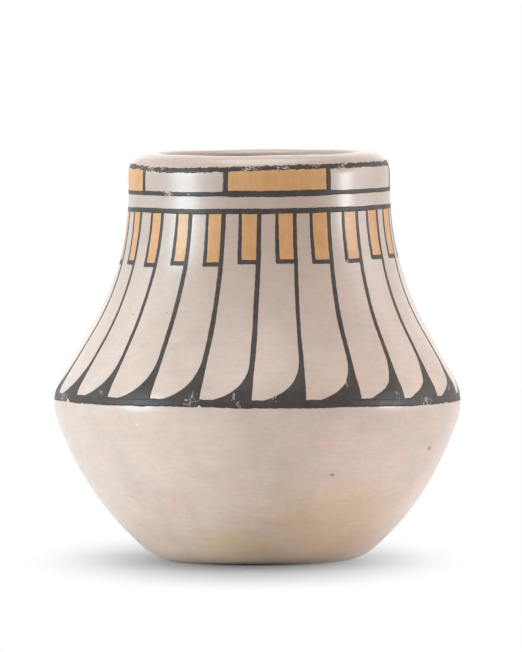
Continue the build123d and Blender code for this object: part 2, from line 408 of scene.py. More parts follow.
def within(angle, first, last, soft):
    """One between two bearings in degrees, falling to nothing over a soft stretch at each end."""
    away = np.degrees(turned_from(angle, (first + last) / 2))
    return np.clip(((last - first) / 2 - np.abs(away)) / soft + 0.5, 0, 1)


def worn_arc(angle, bearing, half_width):
    """How worn a line is: most at a bearing in degrees, and not at all beyond a half width."""
    away = np.degrees(turned_from(angle, bearing))
    return np.clip(1 - (away / half_width) ** 2, 0, 1)


# The wall

BROAD_WAVE = Wave(11, (2, 7), (40, 120))
POLISH_WAVE = Wave(12, (5, 22), (500, 1100), 16)
FADE_LENGTH = 20 * MM

# How far the bowl stands to the right of the axis, at shares of the jar's height
LOPSIDED_RISE = (0, 0.16, 0.28, 0.4, 0.47, 0.55, 0.75, 1)
LOPSIDED_SHARE = (0, 0.1, -1.0, -1.6, -1.4, -0.5, 0.4, 0.0)


class Wall:
    """The outside of this jar, with its hand-made unevenness."""

    def __init__(self, form):
        self.form = form
        points, self.length = spaced(polished_outline(form), OUTLINE_STEP)
        self.radius, self.height = points.T
        along = np.gradient(points, self.length, axis=0)
        along /= np.linalg.norm(along, axis=1, keepdims=True)
        self.out_radius = along[:, 1]
        self.out_height = -along[:, 0]
        self.foot = form.base_diameter / 2
        self.end = self.length[-1]
        self.crest = int(np.argmax(self.height))

    def section(self, length, depth):
        """Radius and height of a true round jar at a depth under its polished outside."""
        radius = np.interp(length, self.length, self.radius)
        height = np.interp(length, self.length, self.height)
        out_radius = np.interp(length, self.length, self.out_radius)
        out_height = np.interp(length, self.length, self.out_height)
        return radius - out_radius * depth, height - out_height * depth

    def length_at(self, height, depth=0.0):
        """The length from the foot at which the wall, at a depth, reaches a height."""
        rising = (self.length > self.foot) & (np.arange(len(self.length)) <= self.crest)
        heights = self.height[rising] - self.out_height[rising] * depth
        return np.interp(height, heights, self.length[rising])

    def radius_at(self, height):
        """The radius of the polished outside at a height."""
        return np.interp(self.length_at(height), self.length, self.radius)

    def hand(self, angle, length):
        """How far the hand-made wall stands proud of a true round one."""
        form = self.form
        fade = np.clip((length - self.foot) / FADE_LENGTH, 0, 1)
        broad = hand_wave(BROAD_WAVE, angle, length)
        facets = hand_wave(POLISH_WAVE, angle, length)
        return fade * (form.hand_unevenness * broad + form.polish_facets * facets)

    def settle(self, angle, radius, height):
        """Points in space: the bowl stands a little off the neck's axis and the rim tilts a little."""
        form = self.form
        rise = height / form.jar_height
        shift = form.lopsided * np.interp(rise, LOPSIDED_RISE, LOPSIDED_SHARE)
        tilt = form.rim_tilt / form.collar_diameter * radius * np.sin(angle) * np.clip(rise, 0, 1) ** 2
        across = radius * np.sin(angle) + shift
        return np.stack(np.broadcast_arrays(across, -radius * np.cos(angle), height + tilt), axis=-1)

    def spot(self, bearing, height):
        """The point on the outside at a bearing in degrees and a height."""
        return self.place(math.radians(bearing), self.length_at(height), 0.0).tolist()

    def place(self, angle, length, lift):
        """Points in space on the hand-made outside, lifted off it or sunk into it."""
        radius, height = self.section(length, -(lift + self.hand(angle, length)))
        return self.settle(angle, radius, height)


# Meshes

COLUMNS = 384
HIDDEN_ROOM = 0.1


def grid_faces(index):
    """Four-cornered faces between the neighbours in a grid of numbers."""
    corners = [index[:-1, :-1], index[:-1, 1:], index[1:, 1:], index[1:, :-1]]
    return np.stack(corners, axis=-1).reshape(-1, 4)


def closed_round(index):
    """A grid of numbers with its first column again at the end."""
    return np.concatenate([index, index[:, :1]], axis=1)


def make_mesh(name, points, faces, uv):
    """A smooth mesh with one flat map."""
    mesh = bpy.data.meshes.new(name)
    mesh.from_pydata(points.tolist(), [], faces.tolist())
    layer = mesh.uv_layers.new(name="OFBake")
    layer.uv.foreach_set("vector", uv.ravel().astype(np.float32))
    mesh.shade_smooth()
    mesh.update()
    return mesh


def make_piece(name, mesh, material, node):
    """A piece of the jar that stands for a CAD node."""
    piece = bpy.data.objects.new(name, mesh)
    bpy.context.scene.collection.objects.link(piece)
    mesh.materials.append(material)
    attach(piece, "root")
    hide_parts(node)


def shown_rows(count, first, last):
    """Which rows of a ring show: those from the first up to the last."""
    rows = np.arange(count)
    return (rows >= first) & (rows < last)


def ring_mesh(name, rows, visible_rows, pole=False):
    """A closed ring from rows of points, each of which goes round the jar.

    The rows go round the ring's section. The map gives most of its room to the rows that show. With a pole,
    the first and last rows are single points on the axis and the section isn't closed.
    """
    count, columns = rows.shape[:2]
    index = np.arange(count * columns).reshape(count, columns)
    weights = np.where(visible_rows, 1.0, HIDDEN_ROOM)
    if pole:
        index[0] = index[0, 0]
        index[-1] = index[-1, 0]
        weights = weights[:-1]
    else:
        index = np.concatenate([index, index[:1]])
    index = closed_round(index)
    steps = np.concatenate([[0], np.cumsum(weights)])
    across = np.linspace(0, 1, columns + 1)
    uv = np.stack(np.meshgrid(across, steps / steps[-1]), axis=-1)
    faces = grid_faces(index)
    corner_uv = uv.reshape(-1, 2)[grid_faces(np.arange(uv[..., 0].size).reshape(uv.shape[:2]))]
    mesh = make_mesh(name, rows.reshape(-1, 3), faces, corner_uv)
    mesh.validate()
    return mesh


# Strokes of the brush

FACE_ROOM = 0.9
BACK_ROOM = 0.06
CELL_MARGIN = 0.02

# The bearing in degrees and the height in millimetres of each patch of scratches
SCRATCHED_PLACES = (
    (-50.8, 65.0),
    (-18.8, 64.8),
    (-6.6, 64.0),
    (4.9, 63.7),
    (27.1, 68.9),
    (44.0, 63.8),
    (72.7, 65.6),
    (38.4, 112.0),
    (44.3, 108.2),
    (-17.0, 143.5),
    (-16.6, 140.5),
    (118.0, 65.5),
    (151.0, 64.0),
    (196.0, 67.0),
    (233.0, 64.5),
    (262.0, 66.0),
)


class Brush:
    """Strokes of paint on the jar, gathered into one mesh.

    A stroke is a closed patch. Its face stands a little off the slip and its edge dips into it.
    """

    def __init__(self, wall, paint, lift):
        self.wall = wall
        self.paint = paint
        self.lift = lift
        self.points = []
        self.faces = []
        self.maps = []
        self.marks = {"wear": [], "scratch": []}
        self.used = 0

    def stroke(self, angle, height, wear=0.0, round_jar=False):
        """Lays a patch over a grid of angles and heights, whose rows may close round the jar."""
        angle, height, wear = np.broadcast_arrays(angle, height, wear)
        # The way that the grid turns at its middle tells whether its faces would point into the jar
        core = (slice(angle.shape[0] // 2 - 1, angle.shape[0] // 2 + 1), slice(1, 3))
        turned = np.diff(angle[core], axis=1)[0, 0] * np.diff(height[core], axis=0)[0, 0]
        turned -= np.diff(angle[core], axis=0)[0, 0] * np.diff(height[core], axis=1)[0, 0]
        if turned < 0:
            angle, height, wear = angle[::-1], height[::-1], wear[::-1]
        edge = np.zeros(angle.shape, bool)
        edge[[0, -1], :] = True
        if not round_jar:
            edge[:, [0, -1]] = True
        length = self.wall.length_at(height)
        face = self.wall.place(angle, length, np.where(edge, -self.paint.edge_sink, self.lift))
        back = self.wall.place(angle, length, -self.paint.stroke_depth)
        face_index = self.used + np.arange(angle.size).reshape(angle.shape)
        back_index = face_index.copy()
        inner = ~edge
        back_index[inner] = self.used + angle.size + np.arange(inner.sum())
        if round_jar:
            face_index = closed_round(face_index)
            back_index = closed_round(back_index)
        self.points += [face.reshape(-1, 3), back[inner]]
        for key, mark in (("wear", wear), ("scratch", self.scratched(angle, height))):
            self.marks[key] += [mark.ravel(), mark[inner]]
        self.used += angle.size + inner.sum()
        self.faces += [grid_faces(face_index), grid_faces(back_index)[:, ::-1]]
        rows, columns = face_index.shape
        flat = np.stack(np.meshgrid(np.linspace(0, 1, columns), np.linspace(0, 1, rows)), axis=-1)
        corners = flat.reshape(-1, 2)[grid_faces(np.arange(rows * columns).reshape(rows, columns))]
        front_part = corners * (1, FACE_ROOM) + (0, 1 - FACE_ROOM)
        back_part = corners[:, ::-1] * (1, BACK_ROOM)
        self.maps.append(np.concatenate([front_part, back_part]))

    def scratched(self, angle, height):
        """How scratched the paint is: most at the middle of each scratched patch."""
        most = np.zeros(angle.shape)
        for bearing, raised in SCRATCHED_PLACES:
            around = turned_from(angle, bearing) * self.wall.radius_at(height)
            away = np.hypot(around, height - raised * MM)
            most = np.maximum(most, np.clip(1 - (away / self.paint.scratch_radius) ** 2, 0, 1))
        return most

    def mesh(self, name):
        """All strokes as one mesh, each with a cell of its own in the flat map."""
        side = math.ceil(math.sqrt(len(self.maps)))
        cells = []
        for order, part in enumerate(self.maps):
            corner = np.array([order % side, order // side])
            cells.append((corner + CELL_MARGIN + part * (1 - 2 * CELL_MARGIN)) / side)
        faces = np.concatenate(self.faces)
        made = make_mesh(name, np.concatenate(self.points), faces, np.concatenate(cells))
        for key, values in self.marks.items():
            mark = made.attributes.new(key, "FLOAT", "POINT")
            mark.data.foreach_set("value", np.concatenate(values).astype(np.float32))
        return made


# Finishes

# A texture has its stretch round and up the jar, the range of it that shows and how strongly at most
Texture = namedtuple("Texture", "scale detail roughness stretch shown most", defaults=(None, (0, 1), 1.0))
Specks = namedtuple("Specks", "scale spread radius rarity strength")

# The colour sockets of a mix node
MIX_FIRST = 6
MIX_SECOND = 7
MIX_RESULT = 2

SPECK_CORE = 0.6
RARITY_EDGE = 0.01
HAZE_ROUGHNESS = 0.48
HAZE_IOR = 1.68


class Nodes:
    """Shader nodes that are laid one after the other."""

    def __init__(self, tree):
        self.tree = tree

    def node(self, kind, settings=(), **inputs):
        """A new node with its settings, and each input set to a value or joined to an output."""
        made = self.tree.nodes.new(kind)
        for key, value in dict(settings).items():
            setattr(made, key, value)
        for key, value in inputs.items():
            self.join(made.inputs[key.replace("_", " ")], value)
        return made

    def join(self, socket, value):
        """Sets a socket to a value, or joins it to an output."""
        if isinstance(value, bpy.types.NodeSocket):
            self.tree.links.new(value, socket)
        else:
            socket.default_value = value

    def ramp(self, value, start, stop, first=0.0, last=1.0):
        """Maps a range of values smoothly to another."""
        made = self.node(
            "ShaderNodeMapRange",
            {"interpolation_type": "SMOOTHSTEP"},
            Value=value,
            From_Min=start,
            From_Max=stop,
            To_Min=first,
            To_Max=last,
        )
        return made.outputs["Result"]

    def calculated(self, kind, operation, first, second):
        """Arithmetic on two values or two vectors."""
        made = self.node(kind, {"operation": operation})
        self.join(made.inputs[0], first)
        self.join(made.inputs[1], second)
        return made.outputs[0]

    def math(self, operation, first, second):
        """Arithmetic on two values."""
        return self.calculated("ShaderNodeMath", operation, first, second)

    def vectors(self, operation, first, second):
        """Arithmetic on two vectors."""
        return self.calculated("ShaderNodeVectorMath", operation, first, second)

    def length_of(self, vector):
        """How long a vector is."""
        return self.node("ShaderNodeVectorMath", {"operation": "LENGTH"}, Vector=vector).outputs["Value"]

    def seen(self):
        """One for what the camera sees, straight or in a reflection, and nothing for other light."""
        path = self.node("ShaderNodeLightPath").outputs
        mirrored = self.math("MAXIMUM", path["Is Camera Ray"], path["Is Glossy Ray"])
        return self.math("MAXIMUM", mirrored, path["Is Transmission Ray"])


class Finish(Nodes):
    """A material and its nodes."""

    def __init__(self, name):
        self.material = bpy.data.materials.new(name)
        self.material.use_nodes = True
        super().__init__(self.material.node_tree)
        self.shader = self.tree.nodes["Principled BSDF"]
        self.place = self.node("ShaderNodeTexCoord").outputs["Object"]

    def noise(self, texture):
        """Soft random texture from 0 to 1, stretched to run level round the jar or up it."""
        vector = self.place
        if texture.stretch:
            across, up = texture.stretch
            mapped = self.node("ShaderNodeMapping", Vector=vector, Scale=(across, across, up))
            vector = mapped.outputs["Vector"]
        made = self.node(
            "ShaderNodeTexNoise",
            Vector=vector,
            Scale=texture.scale,
            Detail=texture.detail,
            Roughness=texture.roughness,
        )
        return made.outputs["Fac"]

    def amount(self, texture, noise=None):
        """How strongly a texture shows at each point."""
        return self.ramp(noise or self.noise(texture), *texture.shown, 0.0, texture.most)

    def mix(self, amount, first, second, blend="MIX"):
        """One colour laid over another."""
        made = self.node("ShaderNodeMix", {"data_type": "RGBA", "blend_type": blend})
        self.join(made.inputs[0], amount)
        for number_of, value in ((MIX_FIRST, first), (MIX_SECOND, second)):
            output = isinstance(value, bpy.types.NodeSocket)
            self.join(made.inputs[number_of], value if output else (*value, 1))
        return made.outputs[MIX_RESULT]

    def fade(self, amount, first, second):
        """One shader faded into another."""
        made = self.node("ShaderNodeMixShader", Fac=amount)
        self.join(made.inputs[1], first.outputs[0])
        self.join(made.inputs[2], second.outputs[0])
        return made

    def specks(self, kind):
        """Small spots: a random few of the cells of a net."""
        net = self.node("ShaderNodeTexVoronoi", Vector=self.place, Scale=kind.scale, Randomness=kind.spread)
        spot = self.ramp(net.outputs["Distance"], kind.radius, kind.radius * SPECK_CORE)
        pick = self.node("ShaderNodeSeparateColor", Color=net.outputs["Color"]).outputs[0]
        return self.math("MULTIPLY", spot, self.ramp(pick, kind.rarity, kind.rarity + RARITY_EDGE))

    def away_from(self, centre, across, up, rough_edge, roughness):
        """Distance from a place, where 1 is the rough edge of a spot that is so wide and so high."""
        apart = self.vectors("SUBTRACT", self.place, centre)
        scaled = self.vectors("MULTIPLY", apart, (1 / across, 1 / across, 1 / up))
        uneven = self.math("MULTIPLY", self.math("SUBTRACT", rough_edge, 0.5), roughness)
        return self.math("ADD", self.length_of(scaled), uneven)

    def spotted(self, wall, places, rough_edge, roughness, soft):
        """How far each point lies in any of some spots, given as bearing, height, half width and rise."""
        total = 0.0
        for bearing, raised, across, up in places:
            centre = wall.spot(bearing, raised * MM)
            away = self.away_from(centre, across * MM, up * MM, rough_edge, roughness)
            total = self.math("MAXIMUM", total, self.ramp(away, *soft))
        return total

    def marked(self, mark, texture, limits, soft):
        """Where a texture rises over a limit, which is lower where the strokes carry more of a mark."""
        carried = self.node("ShaderNodeAttribute", {"attribute_name": mark}).outputs["Fac"]
        limit = self.ramp(carried, 0.0, 1.0, *limits)
        return self.ramp(self.math("SUBTRACT", self.noise(texture), limit), 0.0, soft)

    def bump(self, heights):
        """Fine relief from pairs of a texture and its depth in metres."""
        normal = None
        for height, depth in heights:
            made = self.node("ShaderNodeBump", Strength=1.0, Distance=depth, Height=height)
            if normal is not None:
                self.join(made.inputs["Normal"], normal)
            normal = made.outputs["Normal"]
        return normal

    def done(self, colour_of, roughness, heights, shine=0.5, haze=0.0):
        """Joins the colour, roughness, relief, shine and a broad soft haze to the shader."""
        sockets = {
            "Coat Weight": haze,
            "Coat Roughness": HAZE_ROUGHNESS,
            "Coat IOR": HAZE_IOR,
            "Specular IOR Level": shine,
            "Base Color": colour_of,
            "Roughness": roughness,
            "Normal": self.bump(heights),
        }
        for key, value in sockets.items():
            self.join(self.shader.inputs[key], value)
        return self.material


CLOUDS = Texture(46, 3, 0.55, shown=(0.38, 0.68))
PINK_CLOUDS = Texture(105, 3, 0.55, shown=(0.42, 0.7))
POLISH_STREAKS = Texture(1.0, 2, 0.5, (40, 260), (0.35, 0.75), 0.4)
FINE_STREAKS = Texture(1.0, 3, 0.6, (150, 1300), (0.42, 0.68), 0.6)
SLIP_GRAIN = Texture(2600, 2, 0.6, None, (0.5, 0.8), 0.5)
SLIP_MOTTLE = Texture(560, 4, 0.68, (0.6, 1.0), (0.4, 0.66), 0.7)
SLIP_SPECKS = Specks(330, 1.0, 0.12, 0.97, 0.3)
SLIP_GLOSS = (0.25, 0.75, 0.22, 0.26)
SLIP_RELIEF = (0.004 * MM, 0.0006 * MM, 0.001 * MM)
SLIP_SHINE = 0.4

# Between which heights a tone comes in, and from which share to which
# The slip turns darker up the neck as painted shade
NECK_SHADE_RISE = (0.045, 0.122)
FOOT_TONE = (0.022, 0.0, 0.0, 0.4)
HAZE_TONE = (0.055, 0.1, 0.12, 1.0)

# How rough and how soft the edges of clouds and stains are
CLOUD_EDGE = Texture(60, 2, 0.5)
CLOUD_RAGGED = 0.5
CLOUD_SOFT = (1.0, 0.25)
STAIN_EDGE = Texture(1500, 2, 0.6)
STAIN_RAGGED = 1.2
STAIN_SOFT = (1.1, 0.5, 0.0, 0.75)

# The bearing in degrees of each cloud and stain, and its height, half width and rise in millimetres
# The grey clouds round the bowl are painted shade that darkens it
SHADE_CLOUDS = ((-64, 42, 46, 34), (68, 44, 38, 26), (146, 58, 38, 30), (236, 50, 42, 28))
TAN_PATCHES = ((31, 14, 48, 24), (-8, 8, 24, 12), (120, 12, 30, 16), (205, 17, 44, 24))
STAINS = {
    "brown_fleck": ((64, 43.2, 1.6, 1.2), (24.1, 34.8, 1.2, 0.55), (141, 40, 0.9, 0.6), (252, 50, 0.5, 0.8)),
    "slip_speck": ((-51.9, 93.4, 0.5, 0.5), (-35.5, 94.2, 0.4, 0.4), (205, 88, 0.5, 0.4)),
    "chip_white": ((-36.4, 53.4, 0.6, 0.6), (171, 47, 0.5, 0.5)),
}


def polished_slip_finish(scene):
    """Cream slip rubbed with a stone: darker at the neck as painted shade, with faint clouds, grey clouds of
    painted shade on the bowl, stains and a tan foot.
    """
    colours = scene.jar_colours
    wall = Wall(scene.jar_form)
    finish = Finish("stone_polished_slip")
    height = finish.node("ShaderNodeSeparateXYZ", Vector=finish.place).outputs["Z"]
    streaks = finish.noise(POLISH_STREAKS)
    fine_streaks = finish.noise(FINE_STREAKS)
    grain = finish.noise(SLIP_GRAIN)
    cloud_edge = finish.noise(CLOUD_EDGE)
    # Painted shade: grey clouds that darken the bowl
    painted_shade = finish.spotted(wall, SHADE_CLOUDS, cloud_edge, CLOUD_RAGGED, CLOUD_SOFT)
    tan = finish.spotted(wall, TAN_PATCHES, cloud_edge, CLOUD_RAGGED, CLOUD_SOFT)
    # Painted shade: the slip darkens up the neck
    tone = finish.mix(finish.ramp(height, *NECK_SHADE_RISE), colours.cream, colours.neck_slip_shaded)
    tints = (
        (finish.amount(CLOUDS), colours.grey_and_shade_tint),
        (finish.amount(PINK_CLOUDS), colours.pink_tint),
        (painted_shade, colours.grey_and_shade_tint),
        (finish.math("MAXIMUM", finish.ramp(height, *FOOT_TONE), tan), colours.tan_tint),
        (finish.amount(POLISH_STREAKS, streaks), colours.grey_and_shade_tint),
        (finish.amount(SLIP_GRAIN, grain), colours.tan_tint),
        (finish.amount(FINE_STREAKS, fine_streaks), colours.mottle_tint),
        (finish.amount(SLIP_MOTTLE), colours.mottle_tint),
    )
    for amount, tint in tints:
        tone = finish.mix(amount, tone, tint, "MULTIPLY")
    specks = finish.math("MULTIPLY", finish.specks(SLIP_SPECKS), SLIP_SPECKS.strength)
    tone = finish.mix(specks, tone, colours.slip_speck)
    stain_edge = finish.noise(STAIN_EDGE)
    for key, places in STAINS.items():
        stain = finish.spotted(wall, places, stain_edge, STAIN_RAGGED, STAIN_SOFT)
        tone = finish.mix(stain, tone, getattr(colours, key))
    relief = zip((streaks, fine_streaks, grain), SLIP_RELIEF)
    haze = finish.ramp(height, *HAZE_TONE)
    return finish.done(tone, finish.ramp(streaks, *SLIP_GLOSS), relief, SLIP_SHINE, haze)


FLAKE_EDGE = 0.05
BLACK_RUBBED = Texture(150, 3, 0.6, None, (0.45, 0.75), 0.4)
BLACK_BRUSH = Texture(1.0, 2, 0.5, (300, 900), (0.45, 0.8), 0.35)
BLACK_FLAKES = Texture(1.0, 4, 0.7, (800, 1600))
BLACK_FLAKE_LIMITS = (0.78, 0.48)
BLACK_GLOSS = (0.3, 0.7, 0.36, 0.5)
BLACK_RELIEF = (0.012 * MM, -0.006 * MM, -0.008 * MM)
BLACK_SHINE = 0.3
SCRATCHES = Texture(1.0, 1, 0.5, (1700, 300))
SCRATCH_LIMITS = (0.8, 0.52)
SCRATCH_EDGE = 0.06
SCRATCH_STRENGTH = 0.8


def black_paint_finish(scene):
    """Black mineral and plant paint: almost matt, rubbed thin here and there, flaked and scratched."""
    colours = scene.jar_colours
    finish = Finish("black_mineral_paint")
    brush = finish.noise(BLACK_BRUSH)
    ticks = finish.marked("scratch", SCRATCHES, SCRATCH_LIMITS, SCRATCH_EDGE)
    flaked = finish.marked("wear", BLACK_FLAKES, BLACK_FLAKE_LIMITS, FLAKE_EDGE)
    tone = finish.mix(finish.amount(BLACK_RUBBED), colours.black, colours.black_worn)
    tone = finish.mix(finish.amount(BLACK_BRUSH, brush), tone, colours.black_worn)
    tone = finish.mix(finish.math("MULTIPLY", ticks, SCRATCH_STRENGTH), tone, colours.scratch)
    tone = finish.mix(flaked, tone, colours.neck_slip_shaded)
    relief = zip((brush, flaked, ticks), BLACK_RELIEF)
    return finish.done(tone, finish.ramp(brush, *BLACK_GLOSS), relief, BLACK_SHINE)


OCHRE_UPRIGHT = Texture(1.0, 3, 0.6, (900, 110), (0.4, 0.75), 0.45)
OCHRE_LEVEL = Texture(1.0, 3, 0.6, (120, 800), (0.45, 0.8), 0.25)
OCHRE_DRY = Texture(300, 2, 0.5, None, (0.42, 0.75), 0.3)
OCHRE_POOLS = Texture(190, 3, 0.55, None, (0.4, 0.72), 0.35)
OCHRE_FLAKES = Texture(1.0, 4, 0.7, (1900, 3800))
OCHRE_FLAKE_LIMITS = (0.86, 0.55)
OCHRE_GLOSS = (0.3, 0.7, 0.3, 0.42)
OCHRE_RELIEF = (0.012 * MM, 0.006 * MM)


def ochre_paint_finish(scene):
    """Ochre wash: brushed on thin, paler where the brush ran dry and darker where it pooled."""
    colours = scene.jar_colours
    finish = Finish("ochre_wash")
    upright = finish.noise(OCHRE_UPRIGHT)
    level = finish.noise(OCHRE_LEVEL)
    flaked = finish.marked("wear", OCHRE_FLAKES, OCHRE_FLAKE_LIMITS, FLAKE_EDGE)
    tone = finish.mix(finish.amount(OCHRE_UPRIGHT, upright), colours.ochre, colours.ochre_pale)
    tone = finish.mix(finish.amount(OCHRE_LEVEL, level), tone, colours.ochre_pale)
    tone = finish.mix(finish.amount(OCHRE_DRY), tone, colours.ochre_pale)
    tone = finish.mix(finish.amount(OCHRE_POOLS), tone, colours.ochre_dark)
    tone = finish.mix(flaked, tone, colours.neck_slip_shaded)
    return finish.done(tone, finish.ramp(level, *OCHRE_GLOSS), zip((upright, level), OCHRE_RELIEF))


CLAY_CLOUDS = Texture(48, 4, 0.6, shown=(0.35, 0.7))
CLAY_SCRAPED = Texture(1.0, 3, 0.6, (22, 520), (0.42, 0.75), 0.5)
CLAY_GRAIN = Texture(1500, 3, 0.7, None, (0.5, 0.75), 0.4)
PALE_TEMPER = Specks(520, 1.0, 0.2, 0.72, 0.55)
DARK_TEMPER = Specks(430, 0.9, 0.16, 0.85, 0.6)
CLAY_GLOSS = (0.3, 0.7, 0.75, 0.92)
CLAY_RELIEF = (0.12 * MM, 0.05 * MM, 0.03 * MM)


def bare_clay_finish(scene):
    """Bare fired clay: scraped level with a gourd rib, with grains of temper."""
    colours = scene.jar_colours
    finish = Finish("bare_fired_clay")
    scraped = finish.noise(CLAY_SCRAPED)
    grain = finish.noise(CLAY_GRAIN)
    temper = finish.specks(PALE_TEMPER)
    dark_temper = finish.specks(DARK_TEMPER)
    tone = finish.mix(finish.amount(CLAY_CLOUDS), colours.clay, colours.clay_pale)
    tone = finish.mix(finish.amount(CLAY_SCRAPED, scraped), tone, colours.clay_dark)
    tone = finish.mix(finish.amount(CLAY_GRAIN, grain), tone, colours.clay_dark)
    tone = finish.mix(finish.math("MULTIPLY", temper, PALE_TEMPER.strength), tone, colours.clay_pale)
    tone = finish.mix(finish.math("MULTIPLY", dark_temper, DARK_TEMPER.strength), tone, colours.slip_speck)
    return finish.done(tone, finish.ramp(grain, *CLAY_GLOSS), zip((scraped, grain, temper), CLAY_RELIEF))


FINISHES = {}


def shared_finish(context, make):
    """The finish that a function makes, made once and then used by every piece that has it."""
    key = make.__name__
    if key not in FINISHES:
        FINISHES[key] = make(context.scene)
    return FINISHES[key]


# Clay

SEAM_WAVE = Wave(40, (2, 9))
PRESS_WAVE = Wave(21, (9, 26), (90, 260), 14)
SCRAPE_WAVE = Wave(22, (1, 6), (700, 1600), 12)
PRESS_SHARE = 0.8
SCRAPE_SHARE = 0.25
SEAM_WANDER = 0.5 * MM
CLAY_CLEARANCE = 0.02 * MM
SEAM_STEPS = 4
OUTER_STEPS = 12
INNER_STEPS = 22
SHARP_ANGLE = math.radians(35)


def seam_lengths(wall):
    """Where each coil's seam meets the outside, from the base pan's up to the rim coil's."""
    heights = [high(node) for node in ("base_pan", *WALL_COILS)]
    return wall.length_at(np.array(heights), wall.form.slip_thickness)


def seam_line(wall, number_of, angle):
    """A seam's length from the foot, which wanders a little round the jar."""
    wander = SEAM_WANDER * hand_wave(SEAM_WAVE, angle, order=number_of)
    return seam_lengths(wall)[number_of] + wander


def finger_marks(wall, angle, length):
    """How far the inside of the wall is pressed in or left proud."""
    presses = hand_wave(PRESS_WAVE, angle, length)
    scrapes = hand_wave(SCRAPE_WAVE, angle, length)
    return wall.form.finger_marks * (PRESS_SHARE * presses + SCRAPE_SHARE * scrapes)


def seam_face(wall, number_of, angle):
    """A seam's lapped face from the outside of the clay to the inside of the wall."""
    form = wall.form
    part = np.linspace(0, 1, SEAM_STEPS)[:, None]
    line = seam_line(wall, number_of, angle)
    marks = finger_marks(wall, angle, line - form.seam_lap)
    depth = form.slip_thickness + (form.wall_thickness + marks) * part
    length = line - form.seam_lap * part
    return wall.section(length, depth - wall.hand(angle, length))


def outer_face(wall, first, last, steps):
    """The outside of the clay under the slip, between two lines of lengths."""
    angle = ring_angles(COLUMNS)
    part = np.linspace(0, 1, steps)[:, None]
    length = first + (last - first) * part
    return wall.section(length, wall.form.slip_thickness + CLAY_CLEARANCE - wall.hand(angle, length))


def stacked(*faces):
    """The rows of several faces as one grid of radius and one of height."""
    grids = []
    for parts in zip(*faces):
        grids.append(np.concatenate([np.broadcast_to(part, (len(part), COLUMNS)) for part in parts]))
    return grids


def clay_piece(context, wall, node, section, shown, pole=False):
    """A piece of bare clay from the radius and height of the rows round its section."""
    name = f"clay_{node}"
    mesh = ring_mesh(name, wall.settle(ring_angles(COLUMNS), *section), shown, pole)
    mesh.set_sharp_from_angle(angle=SHARP_ANGLE)
    make_piece(name, mesh, shared_finish(context, bare_clay_finish), node)


class JAR_OT_wall_coils(Operator):
    """Lay the coils of the wall, each lapped over the one below and smoothed with the fingers"""

    bl_idname = "jar.wall_coils"
    bl_label = "Wall coils"

    def execute(self, context):
        wall = Wall(context.scene.jar_form)
        form = wall.form
        angle = ring_angles(COLUMNS)
        part = np.linspace(1, 0, INNER_STEPS)[1:-1, None]
        for number_of, node in enumerate(WALL_COILS):
            low_line = seam_line(wall, number_of, angle)
            high_line = seam_line(wall, number_of + 1, angle)
            outside = outer_face(wall, low_line, high_line, OUTER_STEPS)
            top = seam_face(wall, number_of + 1, angle)
            length = low_line + (high_line - low_line) * part - form.seam_lap
            swell = form.coil_swell * 4 * part * (1 - part)
            depth = form.slip_thickness + form.wall_thickness + swell + finger_marks(wall, angle, length)
            inside = wall.section(length, depth - wall.hand(angle, length))
            bottom = [face[::-1] for face in seam_face(wall, number_of, angle)]
            section = stacked(outside, top, inside, bottom)
            count = len(section[0])
            shown = shown_rows(count, OUTER_STEPS + SEAM_STEPS - 1, count - SEAM_STEPS)
            clay_piece(context, wall, node, section, shown)
        return {"FINISHED"}


SCUFF_WAVE = Wave(31, (3, 12), (200, 600))
FLOOR_WAVE = Wave(32, (3, 14), (120, 420), 14)
HOLLOW_STEPS = 24
RING_STEPS = 10
FOOT_SCUFFS = 0.1 * MM
FOOT_EDGE = 1.5 * MM
FLOOR_STEP = 1.0 * MM
FLOOR_CALM = 12 * MM


class JAR_OT_base_pan(Operator):
    """Press the base pan, with its foot, its floor and the start of the bowl"""

    bl_idname = "jar.base_pan"
    bl_label = "Base pan"

    def execute(self, context):
        wall = Wall(context.scene.jar_form)
        form = wall.form
        angle = ring_angles(COLUMNS)
        hollow = form.base_diameter / 2 - form.foot_ring_width
        across = np.concatenate(
            [np.linspace(0, hollow, HOLLOW_STEPS), np.linspace(hollow, wall.foot, RING_STEPS)[1:]]
        )[:, None]
        arch = form.foot_hollow * np.clip(1 - (across / hollow) ** 2, 0, 1)
        scuffs = FOOT_SCUFFS * np.abs(hand_wave(SCUFF_WAVE, angle, across))
        edge_fade = np.clip((wall.foot - across) / FOOT_EDGE, 0, 1) * np.clip(across / FOOT_EDGE, 0, 1)
        foot = (across + 0 * angle, arch + scuffs * edge_fade)
        seam = seam_line(wall, 0, angle)
        outside = outer_face(wall, np.full(COLUMNS, wall.foot), seam, OUTER_STEPS)
        lap = seam_face(wall, 0, angle)
        lap_end = np.array([np.mean(lap[0][-1]), np.mean(lap[1][-1])])
        floor_middle = np.array([0.0, form.floor_thickness])
        floor_edge = crossing(lap_end, heading(form.bowl_angle), floor_middle, heading(0))
        line, along = spaced(rounded([lap_end, floor_edge, floor_middle], [form.floor_round]), FLOOR_STEP)
        presses = hand_wave(FLOOR_WAVE, angle, along[:, None])
        marks = form.finger_marks * presses * np.clip((along[-1] - along) / FLOOR_CALM, 0, 1)[:, None]
        seam_fade = np.clip(1 - along / FLOOR_CALM, 0, 1)[:, None]
        radius = line[:, :1] + seam_fade * (lap[0][-1] - lap_end[0])
        height = line[:, 1:] + marks * (1 - seam_fade) + seam_fade * (lap[1][-1] - lap_end[1])
        section = stacked(foot, outside, lap, (radius[1:], height[1:]))
        first_hidden = len(across)
        covered = shown_rows(len(section[0]), first_hidden, first_hidden + OUTER_STEPS + SEAM_STEPS - 1)
        clay_piece(context, wall, "base_pan", section, ~covered, pole=True)
        return {"FINISHED"}


RIM_STEPS = 70
RIM_STEP = 0.6 * MM
RIM_CALM = 5 * MM


